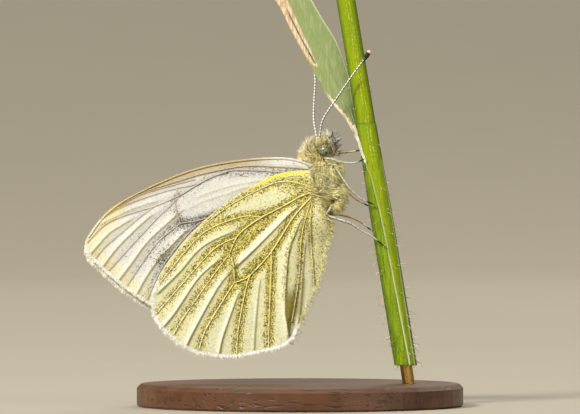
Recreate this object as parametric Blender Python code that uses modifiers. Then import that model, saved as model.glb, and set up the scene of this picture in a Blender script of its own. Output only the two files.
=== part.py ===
"""Green-veined white butterfly resting on a cut grass stem, on a plain display stand.

The insect clings to the stem with its head up and its wings shut over its back, so that only
the undersides show.  +X is the insect's belly side, +Z is up (the way the head points) and +Y
is the insect's left.  The origin is the middle of the stand's underside.  All the sizes below
are millimetres; MM turns them into Blender's metres.
"""

import math

import bmesh
import bpy
from mathutils import Matrix, Vector

MM = 0.001

# Driving dimensions -------------------------------------------------------------------------
SEAM = 0.08                    # thin cut that parts the pieces of the body
WING_THICKNESS = 0.5
WING_ROOT = (1.2, 21.6)        # X, Z of the point that the wing outlines are measured from
WING_GRID = 1.5                # spacing of the grid that a wing's sheet starts from

FOREWING_OFFSET = 0.40         # half the gap between the two shut forewings
FOREWING_RISE = 1.05           # how much further apart they are at the thorax
HINDWING_OFFSET = 1.20
HINDWING_RISE = 0.85
CREASE_X = -1.4                # X of the hindwing's crease beside the abdomen
CREASE_BEND = 1.7              # how far the crease bends towards the thorax at its top
FLANK_DROP = 0.75              # how far the wing turns in from the crease to the abdomen's side
MARGIN_DROP = 0.5              # and from there to the inner margin
FAR_FOREWING_SHIFT = (-0.08, -0.48)   # the left forewing hangs this much lower

THORAX_CENTRE = (2.4, 0.0, 21.5)
THORAX_HALF = (2.3, 1.45, 3.2)
COLLAR_CENTRE = (1.3, 0.0, 24.5)
COLLAR_HALF = (1.6, 1.2, 1.9)
HEAD_CENTRE = (2.35, 0.0, 25.35)
HEAD_HALF = (1.1, 1.0, 1.4)
EYE_CENTRE = (2.3, 0.82, 25.1)
EYE_HALF = (0.62, 0.58, 0.64)
PALP_Y = 0.52
PROBOSCIS_CENTRE = (3.66, 0.0, 24.75)
PROBOSCIS_COIL = (0.19, 0.11)  # radius of the coil, radius of its tube

ABDOMEN_TOP = (2.1, 18.9)
ABDOMEN_TIP = (-0.3, 9.2)
ABDOMEN_RADIUS = 0.92

STEM_FOOT = (10.37, 4.0)       # X, Z of the middle of the stem's lower cut
STEM_HEAD = (4.13, 42.0)       # and of its upper cut
COLLAR_HEIGHT = 27.7           # where the leaf's sheath opens and the stem gets thinner
SHEATH_RADIUS = 1.16
CULM_RADIUS = 0.94
LEAF_THICKNESS = 0.5
TEAR_WIDTH = 0.28

BASE_RADIUS = 16.0
BASE_THICKNESS = 2.2
BASE_EDGE = 0.4
ROD_RADIUS = 0.6
ROD_SLIDE = 0.1                # clearance round the rod in the base and in the stem
ROD_SEAT = 0.8                 # the rod's lower end stands this high in the base
ROD_GRIP = 3.0                 # length of rod inside the stem

# Outlines and routes ------------------------------------------------------------------------
# Wing outlines: X and Z from WING_ROOT, out along the front edge, round the outer margin and
# back along the inner margin.
FOREWING_OUTLINE = (
    (0.1, 2.0), (-2.6, 2.75), (-7.3, 2.5), (-12.0, 1.5), (-16.9, -0.6), (-20.1, -2.6),
    (-22.1, -5.2), (-22.2, -6.5), (-21.2, -7.7), (-18.3, -10.2), (-14.9, -12.4),
    (-13.7, -12.8), (-12.6, -12.1), (-7.5, -6.7), (-0.8, -0.2), (0.1, 0.6),
)
HINDWING_OUTLINE = (
    (-0.2, 1.5), (-2.6, 1.3), (-4.6, 0.6), (-8.5, -1.7), (-12.2, -5.1), (-15.1, -9.0),
    (-15.8, -11.8), (-15.0, -13.9), (-12.2, -16.2), (-8.7, -16.95), (-5.1, -16.5),
    (-2.2, -15.5), (-1.1, -13.6), (0.0, -11.0), (0.8, -9.3), (1.45, -6.3), (2.15, -3.8),
    (1.0, -2.2), (0.4, -0.4),
)

# Routes of legs, feelers and palps: X, Y, Z and radius, from the body outwards.
RIGHT_LEGS = {
    "foreleg": (
        (4.0, -0.9, 22.7, 0.30), (3.6, -1.6, 23.0, 0.30), (2.9, -1.8, 23.7, 0.28),
        (2.3, -1.75, 24.15, 0.26), (3.0, -1.75, 24.2, 0.26), (3.8, -1.6, 23.95, 0.26),
        (4.8, -1.4, 23.8, 0.25), (5.6, -1.3, 23.9, 0.25), (6.2, -1.25, 24.15, 0.25),
    ),
    "midleg": (
        (3.8, -1.0, 20.7, 0.30), (3.7, -1.9, 21.3, 0.30), (3.4, -2.4, 22.6, 0.28),
        (3.23, -2.5, 23.45, 0.26), (3.75, -2.4, 22.9, 0.26), (4.6, -2.1, 21.6, 0.26),
        (5.15, -1.85, 21.0, 0.25), (5.9, -1.65, 20.35, 0.25), (7.1, -1.5, 19.8, 0.25),
    ),
    "hindleg": (
        (3.6, -0.9, 19.9, 0.30), (3.2, -1.9, 19.5, 0.30), (2.65, -2.6, 18.6, 0.27),
        (3.3, -2.55, 18.4, 0.26), (4.2, -2.4, 18.15, 0.26), (4.9, -2.2, 17.9, 0.26),
        (5.9, -1.9, 17.25, 0.25), (6.9, -1.7, 16.7, 0.25), (8.1, -1.55, 15.8, 0.25),
    ),
}
LEFT_LEGS = {
    "foreleg": (
        (4.0, 0.9, 22.7, 0.30), (3.4, 1.6, 23.3, 0.30), (2.7, 1.75, 24.1, 0.27),
        (3.4, 1.75, 24.6, 0.26), (4.1, 1.6, 24.8, 0.26), (5.5, 1.2, 25.0, 0.25),
        (5.85, 1.1, 25.1, 0.25),
    ),
    "midleg": (
        (3.8, 1.0, 20.7, 0.30), (3.7, 1.9, 21.3, 0.30), (3.35, 2.4, 22.8, 0.27),
        (4.3, 2.2, 21.9, 0.26), (4.9, 1.95, 20.85, 0.26), (5.6, 1.65, 20.2, 0.25),
        (6.75, 1.2, 19.6, 0.25),
    ),
    "hindleg": (
        (3.6, 0.9, 19.9, 0.30), (3.3, 1.9, 19.4, 0.30), (2.9, 2.6, 18.85, 0.27),
        (3.7, 2.4, 18.8, 0.26), (4.6, 2.1, 18.6, 0.26), (5.9, 1.6, 18.05, 0.25),
        (6.95, 1.15, 17.25, 0.25),
    ),
}
RIGHT_ANTENNA = (
    (1.9, -0.35, 26.2, 0.26), (2.25, -0.8, 28.05, 0.25), (3.5, -1.3, 30.0, 0.25),
    (4.83, -1.8, 31.95, 0.25), (6.1, -2.2, 33.7, 0.26), (6.5, -2.3, 34.25, 0.33),
    (6.8, -2.35, 34.75, 0.31),
)
LEFT_ANTENNA = (
    (1.65, 0.35, 26.2, 0.26), (1.35, 0.9, 28.2, 0.25), (1.42, 1.5, 30.4, 0.25),
    (1.5, 1.95, 32.0, 0.25), (1.25, 2.35, 34.0, 0.26), (1.15, 2.5, 34.7, 0.33),
    (1.05, 2.6, 35.3, 0.31),
)
RIGHT_PALP = (
    (3.2, -PALP_Y, 24.55, 0.34), (3.5, -PALP_Y, 25.2, 0.38), (3.45, -PALP_Y, 26.0, 0.34),
    (3.25, -PALP_Y, 26.8, 0.16),
)

# Leaf blade: X, Z of its midline and half its width there, from the cut end to the stem.
LEAF_BLADE = (
    (-1.6, 41.3, 1.50), (-0.65, 39.8, 1.50), (0.8, 37.2, 1.62), (2.3, 34.5, 1.68),
    (3.45, 31.8, 1.42), (4.15, 30.0, 0.98), (4.9, 28.5, 0.55), (5.5, 27.0, 0.30),
)
LEAF_CUP = 0.22                # the blade's edges stand this far behind its midrib
TEAR_ROUTE = ((-2.2, 40.9), (-0.8, 37.9), (0.3, 35.7), (1.6, 33.4))

COLOURS = {                    # base colour, roughness, metallic
    "wing_white": ((0.78, 0.76, 0.62, 1.0), 0.75, 0.0),
    "wing_lemon": ((0.80, 0.76, 0.44, 1.0), 0.75, 0.0),
    "body_fur": ((0.42, 0.36, 0.20, 1.0), 0.9, 0.0),
    "eye_green": ((0.36, 0.40, 0.20, 1.0), 0.3, 0.0),
    "limb": ((0.55, 0.48, 0.34, 1.0), 0.6, 0.0),
    "feeler": ((0.06, 0.05, 0.04, 1.0), 0.6, 0.0),
    "stem_green": ((0.28, 0.34, 0.02, 1.0), 0.5, 0.0),
    "leaf_green": ((0.35, 0.41, 0.14, 1.0), 0.6, 0.0),
    "walnut": ((0.14, 0.07, 0.035, 1.0), 0.45, 0.0),
    "brass": ((0.75, 0.55, 0.25, 1.0), 0.3, 1.0),
}


# Tools --------------------------------------------------------------------------------------
def clear_scene():
    for item in list(bpy.data.objects):
        bpy.data.objects.remove(item, do_unlink=True)


def new_collection(name):
    collection = bpy.data.collections.new(name)
    bpy.context.scene.collection.children.link(collection)
    return collection


def make_material(name):
    colour, roughness, metallic = COLOURS[name]
    material = bpy.data.materials.new(name)
    material.use_nodes = True
    shader = material.node_tree.nodes["Principled BSDF"]
    shader.inputs["Base Color"].default_value = colour
    shader.inputs["Roughness"].default_value = roughness
    shader.inputs["Metallic"].default_value = metallic
    return material


class Workshop:
    """The two collections and the materials that every piece is made with."""

    def __init__(self):
        self.parts = new_collection("green_veined_white")
        self.cutters = new_collection("cutters")
        self.cutters.hide_render = True
        self.materials = {name: make_material(name) for name in COLOURS}

    def piece(self, name, mesh, material):
        """A part of the model from a finished mesh."""
        made = bpy.data.objects.new(name, mesh)
        mesh.materials.clear()
        mesh.materials.append(self.materials[material])
        mesh.shade_smooth()
        mesh.set_sharp_from_angle(angle=math.radians(40))
        self.parts.objects.link(made)
        return made

    def cutter(self, name, mesh):
        """A shape that only cuts others."""
        made = bpy.data.objects.new(name, mesh)
        made.hide_render = True
        made.display_type = "WIRE"
        self.cutters.objects.link(made)
        return made


def combine(target, tool, operation):
    """Cut, join or trim the target with the tool, and keep the modifier live."""
    modifier = target.modifiers.new(f"{operation.lower()}_{tool.name}", "BOOLEAN")
    modifier.operation = operation
    modifier.solver = "EXACT"
    modifier.object = tool


def smooth_route(points, per_span):
    """Points read from a smooth curve through the given ones (any number of values each)."""
    rows = [Vector(point) for point in points]
    rows = [rows[0] * 2 - rows[1]] + rows + [rows[-1] * 2 - rows[-2]]
    route = []
    for i in range(1, len(rows) - 2):
        before, start, end, after = rows[i - 1:i + 3]
        for step in range(per_span):
            t = step / per_span
            route.append(0.5 * (2 * start + (end - before) * t
                                + (2 * before - 5 * start + 4 * end - after) * t * t
                                + (3 * start - before - 3 * end + after) * t ** 3))
    route.append(rows[-2])
    return route


def smooth_step(low, high, value):
    t = min(max((value - low) / (high - low), 0.0), 1.0)
    return t * t * (3 - 2 * t)


def mesh_of_curve(curve):
    """The closed mesh of a curve's tube or filled outline."""
    holder = bpy.data.objects.new("curve_holder", curve)
    bpy.context.scene.collection.objects.link(holder)
    evaluated = holder.evaluated_get(bpy.context.evaluated_depsgraph_get())
    mesh = bpy.data.meshes.new_from_object(evaluated)
    bpy.data.objects.remove(holder, do_unlink=True)
    work = bmesh.new()
    work.from_mesh(mesh)
    bmesh.ops.remove_doubles(work, verts=work.verts, dist=1e-6)
    bmesh.ops.recalc_face_normals(work, faces=work.faces)
    work.to_mesh(mesh)
    work.free()
    return mesh


def tube_mesh(name, route, resolution=2):
    """A round tube along a route of X, Y, Z and radius."""
    curve = bpy.data.curves.new(name, "CURVE")
    curve.dimensions = "3D"
    curve.bevel_depth = MM
    curve.bevel_resolution = resolution
    curve.use_fill_caps = True
    spline = curve.splines.new("POLY")
    spline.points.add(len(route) - 1)
    for point, (x, y, z, radius) in zip(spline.points, route):
        point.co = (x * MM, y * MM, z * MM, 1.0)
        point.radius = radius
    return mesh_of_curve(curve)


def prism_mesh(name, outline, half_depth):
    """An outline in the XZ plane, smoothed and filled, as deep as twice half_depth along Y."""
    curve = bpy.data.curves.new(name, "CURVE")
    curve.dimensions = "2D"
    curve.fill_mode = "BOTH"
    curve.extrude = half_depth * MM
    spline = curve.splines.new("POLY")
    spline.points.add(len(outline) - 1)
    for point, (x, z) in zip(spline.points, outline):
        point.co = (x * MM, z * MM, 0.0, 1.0)
    spline.use_cyclic_u = True
    mesh = mesh_of_curve(curve)
    mesh.transform(Matrix.Rotation(math.radians(90), 4, "X"))
    return mesh


def blob_mesh(centre, half, power=2.0, segments=20, rings=14, grow=0.0):
    """An ellipsoid, or a boxier one where power is above 2."""
    work = bmesh.new()
    bmesh.ops.create_uvsphere(work, u_segments=segments, v_segments=rings, radius=1.0)
    for vertex in work.verts:
        reach = sum(abs(value) ** power for value in vertex.co) ** (-1.0 / power)
        vertex.co = Vector([(c + (h + grow) * d * reach) * MM
                            for c, h, d in zip(centre, half, vertex.co)])
    mesh = bpy.data.meshes.new("blob")
    work.to_mesh(mesh)
    work.free()
    return mesh


# Body ---------------------------------------------------------------------------------------
def abdomen_route(grow=0.0):
    """Midline of the abdomen: widest a third of the way down, then tapering to a blunt tip."""
    count = 12
    route = []
    for i in range(count + 1):
        t = i / count
        swell = 0.72 + 0.28 * math.sin(math.pi * min(t * 1.5, 1.0) * 0.5)
        taper = math.sqrt(max(1.0 - max((t - 0.45) / 0.56, 0.0) ** 2, 0.02))
        bow = 0.35 * math.sin(math.pi * t)
        x = ABDOMEN_TOP[0] + (ABDOMEN_TIP[0] - ABDOMEN_TOP[0]) * t + bow
        z = ABDOMEN_TOP[1] + (ABDOMEN_TIP[1] - ABDOMEN_TOP[1]) * t
        route.append((x, 0.0, z, ABDOMEN_RADIUS * swell * taper + grow))
    return route


def build_body(shop):
    """Head, eyes, palps, tongue, thorax and abdomen, parted by thin cuts."""
    head_room = shop.cutter("head_room", blob_mesh(HEAD_CENTRE, HEAD_HALF, grow=SEAM))
    collar = shop.cutter("collar", blob_mesh(COLLAR_CENTRE, COLLAR_HALF))
    collar_room = shop.cutter("collar_room", blob_mesh(COLLAR_CENTRE, COLLAR_HALF, grow=SEAM))
    thorax_room = shop.cutter(
        "thorax_room", blob_mesh(THORAX_CENTRE, THORAX_HALF, power=2.4, grow=SEAM))

    thorax = shop.piece("thorax", blob_mesh(THORAX_CENTRE, THORAX_HALF, power=2.4), "body_fur")
    combine(thorax, collar, "UNION")
    combine(thorax, head_room, "DIFFERENCE")

    head = shop.piece("head", blob_mesh(HEAD_CENTRE, HEAD_HALF), "body_fur")
    for side, sign in (("right", -1), ("left", 1)):
        centre = (EYE_CENTRE[0], sign * EYE_CENTRE[1], EYE_CENTRE[2])
        shop.piece(f"eye_{side}", blob_mesh(centre, EYE_HALF, segments=16, rings=12), "eye_green")
        socket = shop.cutter(f"eye_socket_{side}",
                             blob_mesh(centre, EYE_HALF, segments=16, rings=12, grow=SEAM))
        combine(head, socket, "DIFFERENCE")
        combine(thorax, socket, "DIFFERENCE")

    abdomen = shop.piece("abdomen", tube_mesh("abdomen", abdomen_route(), resolution=4),
                         "body_fur")
    combine(abdomen, thorax_room, "DIFFERENCE")

    for side, sign in (("right", 1), ("left", -1)):
        route = [(x, y * sign, z, r) for x, y, z, r in smooth_route(RIGHT_PALP, 3)]
        palp = shop.piece(f"palp_{side}", tube_mesh("palp", route), "body_fur")
        combine(palp, head_room, "DIFFERENCE")
        combine(palp, thorax_room, "DIFFERENCE")

    coil, tube = PROBOSCIS_COIL
    bpy.ops.mesh.primitive_torus_add(
        location=[value * MM for value in PROBOSCIS_CENTRE],
        rotation=(math.radians(90), 0.0, 0.0),
        major_radius=coil * MM, minor_radius=tube * MM, major_segments=16, minor_segments=8)
    ring = bpy.context.object
    mesh = ring.data.copy()
    mesh.transform(ring.matrix_world)
    bpy.data.objects.remove(ring, do_unlink=True)
    tongue = shop.piece("proboscis", mesh, "feeler")
    combine(tongue, head_room, "DIFFERENCE")
    return head_room, collar_room, thorax_room


def build_limbs(shop, rooms):
    """Six legs and two feelers, each cut clear of the body and of the stem."""
    head_room, collar_room, thorax_room = rooms
    for side, legs in (("right", RIGHT_LEGS), ("left", LEFT_LEGS)):
        for name, route in legs.items():
            leg = shop.piece(f"{name}_{side}", tube_mesh(name, smooth_route(route, 2)), "limb")
            combine(leg, thorax_room, "DIFFERENCE")
    for side, route in (("right", RIGHT_ANTENNA), ("left", LEFT_ANTENNA)):
        feeler = shop.piece(f"antenna_{side}", tube_mesh("antenna", smooth_route(route, 3)),
                            "feeler")
        combine(feeler, head_room, "DIFFERENCE")
        combine(feeler, collar_room, "DIFFERENCE")


# Wings --------------------------------------------------------------------------------------
def forewing_height(x, _z):
    """How far the middle of a forewing lies from the plane between the wings."""
    return FOREWING_OFFSET + FOREWING_RISE * smooth_step(-4.0, 1.2, x)


def hindwing_height(x, z):
    """The same for a hindwing.

    It swells towards a crease in front of the abdomen, and turns in behind it to wrap the
    abdomen as far as the inner margin.
    """
    slant = (ABDOMEN_TOP[0] - ABDOMEN_TIP[0]) / (ABDOMEN_TOP[1] - ABDOMEN_TIP[1])
    midline = ABDOMEN_TOP[0] + (z - ABDOMEN_TOP[1]) * slant
    crease = CREASE_X + CREASE_BEND * smooth_step(13.0, 19.5, z)
    flank = FLANK_DROP * smooth_step(crease, midline + 0.2, x)
    margin = MARGIN_DROP * smooth_step(midline, midline + 1.6, x)
    below_thorax = smooth_step(19.0, 15.5, z)
    swell = HINDWING_RISE * smooth_step(-4.5, 0.8, x)
    return HINDWING_OFFSET + swell - below_thorax * (flank + margin)


def wing_sheet_mesh(outline, height, sign):
    """A grid over the outline's box, bent to the wing's height."""
    columns = [x for x, z in outline]
    rows = [z for x, z in outline]
    margin = 0.6
    low = (min(columns) - margin, min(rows) - margin)
    wide = max(columns) - min(columns) + 2 * margin
    tall = max(rows) - min(rows) + 2 * margin
    work = bmesh.new()
    bmesh.ops.create_grid(work, x_segments=round(wide / WING_GRID),
                          y_segments=round(tall / WING_GRID), size=0.5)
    for vertex in work.verts:
        x = low[0] + (vertex.co.x + 0.5) * wide
        z = low[1] + (vertex.co.y + 0.5) * tall
        vertex.co = Vector((x, sign * height(x, z), z)) * MM
    mesh = bpy.data.meshes.new("wing_sheet")
    work.to_mesh(mesh)
    work.free()
    return mesh


def build_wing(shop, name, outline, height, sign, shift, rooms, material):
    """One wing: a bent sheet of even thickness, trimmed to its outline."""
    placed = [(x + WING_ROOT[0] + shift[0], z + WING_ROOT[1] + shift[1]) for x, z in outline]
    placed = [tuple(point) for point in smooth_route(placed + placed[:1], 3)][:-1]
    wing = shop.piece(name, wing_sheet_mesh(placed, height, sign), material)
    solid = wing.modifiers.new("thickness", "SOLIDIFY")
    solid.thickness = WING_THICKNESS * MM
    solid.offset = 0.0
    trim = shop.cutter(f"{name}_outline", prism_mesh(name, placed, 6.0))
    combine(wing, trim, "INTERSECT")
    for room in rooms:
        combine(wing, room, "DIFFERENCE")


def build_wings(shop, rooms):
    still = (0.0, 0.0)
    build_wing(shop, "forewing_right", FOREWING_OUTLINE, forewing_height, -1, still, rooms,
               "wing_white")
    build_wing(shop, "forewing_left", FOREWING_OUTLINE, forewing_height, 1,
               FAR_FOREWING_SHIFT, rooms, "wing_white")
    build_wing(shop, "hindwing_right", HINDWING_OUTLINE, hindwing_height, -1, still, rooms,
               "wing_lemon")
    build_wing(shop, "hindwing_left", HINDWING_OUTLINE, hindwing_height, 1, still, rooms,
               "wing_lemon")


# Grass --------------------------------------------------------------------------------------
def stem_point(height):
    """X of the stem's midline at a height."""
    t = (height - STEM_FOOT[1]) / (STEM_HEAD[1] - STEM_FOOT[1])
    return STEM_FOOT[0] + (STEM_HEAD[0] - STEM_FOOT[0]) * t


def stem_route(grow=0.0):
    """The stem with its sheath up to the collar, a ring there, and the bare culm above."""
    steps = (
        (STEM_FOOT[1], SHEATH_RADIUS + 0.02),
        (STEM_FOOT[1] + 11.0, SHEATH_RADIUS),
        (COLLAR_HEIGHT - 1.0, SHEATH_RADIUS - 0.03),
        (COLLAR_HEIGHT - 0.3, SHEATH_RADIUS + 0.06),
        (COLLAR_HEIGHT, SHEATH_RADIUS + 0.02),
        (COLLAR_HEIGHT + 0.25, CULM_RADIUS + 0.03),
        (COLLAR_HEIGHT + 3.0, CULM_RADIUS),
        (STEM_HEAD[1], CULM_RADIUS),
    )
    return [(stem_point(z), 0.0, z, radius + grow) for z, radius in steps]


def build_stem(shop, rod_room):
    stem = shop.piece("grass_stem", tube_mesh("stem", stem_route(), resolution=6), "stem_green")
    combine(stem, rod_room, "DIFFERENCE")
    return shop.cutter("stem_room", tube_mesh("stem_room", stem_route(SEAM), resolution=6))


def build_leaf(shop, stem_room):
    """The blade: a cupped strip along its midline, torn along one side."""
    midline = smooth_route(LEAF_BLADE, 3)
    across = (-1.0, -0.5, 0.0, 0.5, 1.0)
    work = bmesh.new()
    rows = []
    for i, point in enumerate(midline):
        ahead = midline[min(i + 1, len(midline) - 1)]
        behind = midline[max(i - 1, 0)]
        along = Vector((ahead.x - behind.x, ahead.y - behind.y)).normalized()
        side = Vector((-along.y, along.x))
        rows.append([work.verts.new(Vector((point.x + side.x * point.z * v, LEAF_CUP * v * v,
                                            point.y + side.y * point.z * v)) * MM)
                     for v in across])
    for near, far in zip(rows, rows[1:]):
        for a, b, c, d in zip(near, near[1:], far[1:], far):
            work.faces.new((a, b, c, d))
    mesh = bpy.data.meshes.new("leaf_sheet")
    work.to_mesh(mesh)
    work.free()

    leaf = shop.piece("grass_leaf", mesh, "leaf_green")
    solid = leaf.modifiers.new("thickness", "SOLIDIFY")
    solid.thickness = LEAF_THICKNESS * MM
    solid.offset = 0.0
    tear = [tuple(point) for point in smooth_route(TEAR_ROUTE, 3)]
    reach = len(tear) - 1
    gap = [(x + TEAR_WIDTH * (1.0 - 0.5 * i / reach), z) for i, (x, z) in enumerate(tear)]
    slot = shop.cutter("leaf_tear", prism_mesh("leaf_tear", tear + gap[::-1], 3.0))
    combine(leaf, slot, "DIFFERENCE")
    combine(leaf, stem_room, "DIFFERENCE")


# Stand --------------------------------------------------------------------------------------
def build_stand(shop):
    """A turned base and a short rod, in line with the stem, that goes up into its cut end."""
    foot = BASE_THICKNESS - ROD_SEAT
    low = (stem_point(foot), 0.0, foot)
    high = (stem_point(STEM_FOOT[1] + ROD_GRIP), 0.0, STEM_FOOT[1] + ROD_GRIP)
    shop.piece("stand_rod", tube_mesh("rod", [(*low, ROD_RADIUS), (*high, ROD_RADIUS)], 4),
               "brass")
    reach = 0.15
    rod_room = shop.cutter("rod_room", tube_mesh("rod_room", [
        (stem_point(foot - reach), 0.0, foot - reach, ROD_RADIUS + ROD_SLIDE),
        (stem_point(high[2] + reach), 0.0, high[2] + reach, ROD_RADIUS + ROD_SLIDE)], 4))

    profile = bmesh.new()
    corners = (
        (0.0, BASE_THICKNESS), (BASE_RADIUS - BASE_EDGE, BASE_THICKNESS),
        (BASE_RADIUS, BASE_THICKNESS - BASE_EDGE), (BASE_RADIUS, BASE_EDGE / 2),
        (BASE_RADIUS - BASE_EDGE / 2, 0.0), (0.0, 0.0),
    )
    points = [profile.verts.new((x * MM, 0.0, z * MM)) for x, z in corners]
    for start, end in zip(points, points[1:]):
        profile.edges.new((start, end))
    mesh = bpy.data.meshes.new("base_profile")
    profile.to_mesh(mesh)
    profile.free()
    base = shop.piece("stand_base", mesh, "walnut")
    turn = base.modifiers.new("turn", "SCREW")
    turn.steps = turn.render_steps = 48
    turn.use_merge_vertices = True
    turn.merge_threshold = 0.00001
    combine(base, rod_room, "DIFFERENCE")
    return rod_room


def main():
    clear_scene()
    shop = Workshop()
    rooms = build_body(shop)
    build_limbs(shop, rooms)
    build_wings(shop, rooms[1:])
    rod_room = build_stand(shop)
    stem_room = build_stem(shop, rod_room)
    build_leaf(shop, stem_room)


main()
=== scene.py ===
"""Looks of a still, life-size green-veined white butterfly on a cut grass stem.

Run in Blender, or read as an add-on: each operator makes one group of pieces.  Lengths in the
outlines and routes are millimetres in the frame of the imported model; MM turns them to metres.
"""

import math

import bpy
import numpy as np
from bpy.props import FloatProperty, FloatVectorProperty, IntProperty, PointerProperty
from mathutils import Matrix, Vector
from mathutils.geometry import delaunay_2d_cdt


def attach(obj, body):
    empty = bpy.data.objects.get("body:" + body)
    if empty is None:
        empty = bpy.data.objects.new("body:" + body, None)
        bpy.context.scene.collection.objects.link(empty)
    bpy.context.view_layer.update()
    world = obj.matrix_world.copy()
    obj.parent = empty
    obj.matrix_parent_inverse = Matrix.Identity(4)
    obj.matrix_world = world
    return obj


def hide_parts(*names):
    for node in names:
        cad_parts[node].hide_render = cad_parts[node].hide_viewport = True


bl_info = {
    "name": "Green-veined white on a grass stem",
    "version": (1, 0, 0),
    "blender": (4, 5, 0),
    "location": "View3D > Sidebar > Butterfly",
    "description": "Makes the wings, coat, limbs, grass and stand of a resting butterfly",
    "category": "Object",
}

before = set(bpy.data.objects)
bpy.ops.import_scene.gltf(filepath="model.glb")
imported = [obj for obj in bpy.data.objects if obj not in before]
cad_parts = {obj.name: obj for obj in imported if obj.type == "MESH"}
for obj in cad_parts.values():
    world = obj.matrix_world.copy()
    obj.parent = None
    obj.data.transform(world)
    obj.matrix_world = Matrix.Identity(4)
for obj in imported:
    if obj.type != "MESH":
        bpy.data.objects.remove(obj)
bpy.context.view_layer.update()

MM = 0.001
BODY = "root"
RIGHT, LEFT = -1, 1            # which way a side's outward direction points along Y
SIDES = (("right", RIGHT), ("left", LEFT))


# Sizes and routes, in millimetres -----------------------------------------------------------
WING_ROOT = np.array((1.2, 21.6))
FAR_FOREWING_SHIFT = np.array((-0.08, -0.48))
ABDOMEN_TOP = (2.1, 18.9)
ABDOMEN_TIP = (-0.3, 9.2)
COAT_PATCH = 0.003            # side of a strand's patch on the unwrap
FRINGE = {"forewing": 0.32, "hindwing": 0.43}    # how far it stands past the membrane
FRINGE_ROOT = 0.12             # width of the strip that it grows on

# Wing outlines and the lines in them: X and Z from WING_ROOT, as in the solids.
FOREWING_OUTLINE = (
    (0.1, 2.0), (-2.6, 2.75), (-7.3, 2.5), (-12.0, 1.5), (-16.9, -0.6), (-20.1, -2.6),
    (-22.1, -5.2), (-22.2, -6.5), (-21.2, -7.7), (-18.3, -10.2), (-14.9, -12.4),
    (-13.7, -12.8), (-12.6, -12.1), (-7.5, -6.7), (-0.8, -0.2), (0.1, 0.6),
)
HINDWING_OUTLINE = (
    (-0.2, 1.5), (-2.6, 1.3), (-4.6, 0.6), (-8.5, -1.7), (-12.2, -5.1), (-15.1, -9.0),
    (-15.8, -11.8), (-15.0, -13.9), (-12.2, -16.2), (-8.7, -16.95), (-5.1, -16.5),
    (-2.2, -15.5), (-1.1, -13.6), (0.0, -11.0), (0.8, -9.3), (1.45, -6.3), (2.15, -3.8),
    (1.0, -2.2), (0.4, -0.4),
)

# Veins: radius at the base and at the tip, dusting at the base and at the tip, then the route.
FOREWING_VEINS = {
    "costa": (0.13, 0.07, 0.0, 0.0, (
        (0.0, 1.95), (-2.6, 2.62), (-7.3, 2.38), (-12.0, 1.38), (-16.9, -0.7), (-20.0, -2.7),
        (-21.9, -5.1))),
    "subcosta": (0.1, 0.05, 0.05, 0.0, (
        (-0.3, 1.6), (-2.6, 1.8), (-6.6, 1.9), (-10.5, 1.2), (-12.9, 0.5), (-17.1, -0.8))),
    "radius_1": (0.06, 0.04, 0.0, 0.0, (
        (-11.5, 0.6), (-14.9, -0.3), (-16.9, -0.9), (-18.6, -1.8), (-20.0, -2.7))),
    "radius": (0.1, 0.07, 0.5, 0.1, (
        (-0.3, 1.0), (-4.1, 1.4), (-7.5, 1.5), (-8.8, 1.2), (-10.5, 0.5), (-13.0, -1.0))),
    "radius_2": (0.05, 0.04, 0.0, 0.0, (
        (-11.4, 0.1), (-14.9, -0.7), (-18.8, -2.1), (-20.6, -3.2))),
    "radius_5": (0.06, 0.04, 0.0, 0.0, (
        (-13.0, -1.0), (-15.4, -2.0), (-18.6, -3.0), (-20.4, -3.9), (-22.0, -5.5))),
    "median_1": (0.05, 0.04, 0.0, 0.0, (
        (-15.4, -2.0), (-16.9, -3.1), (-18.8, -4.7), (-20.3, -6.0), (-21.3, -7.2))),
    "median_2": (0.05, 0.04, 0.12, 0.05, (
        (-13.0, -1.0), (-13.9, -2.0), (-15.2, -3.2), (-18.0, -6.2), (-20.0, -8.4))),
    "cell_end": (0.04, 0.05, 0.1, 0.35, (
        (-13.0, -1.0), (-13.4, -1.7), (-13.3, -2.5), (-12.9, -3.7))),
    "cubitus": (0.1, 0.06, 0.1, 0.75, (
        (-0.3, 0.2), (-2.6, -0.4), (-5.6, -1.5), (-8.5, -2.6), (-11.0, -3.4), (-12.9, -3.7))),
    "median_3": (0.06, 0.04, 0.5, 0.05, (
        (-12.9, -3.7), (-14.1, -4.6), (-15.2, -5.6), (-16.2, -6.9), (-18.1, -9.7))),
    "cubitus_1": (0.06, 0.04, 0.45, 0.15, (
        (-9.3, -2.9), (-11.0, -3.7), (-12.2, -4.8), (-14.5, -7.7), (-16.2, -11.2))),
    "cubitus_2": (0.06, 0.04, 0.3, 0.2, (
        (-6.3, -1.7), (-8.2, -3.5), (-12.2, -8.0), (-14.4, -12.2))),
    "anal": (0.07, 0.04, 0.1, 0.1, ((-0.2, -0.1), (-5.1, -4.2), (-12.9, -12.3))),
}
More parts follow.
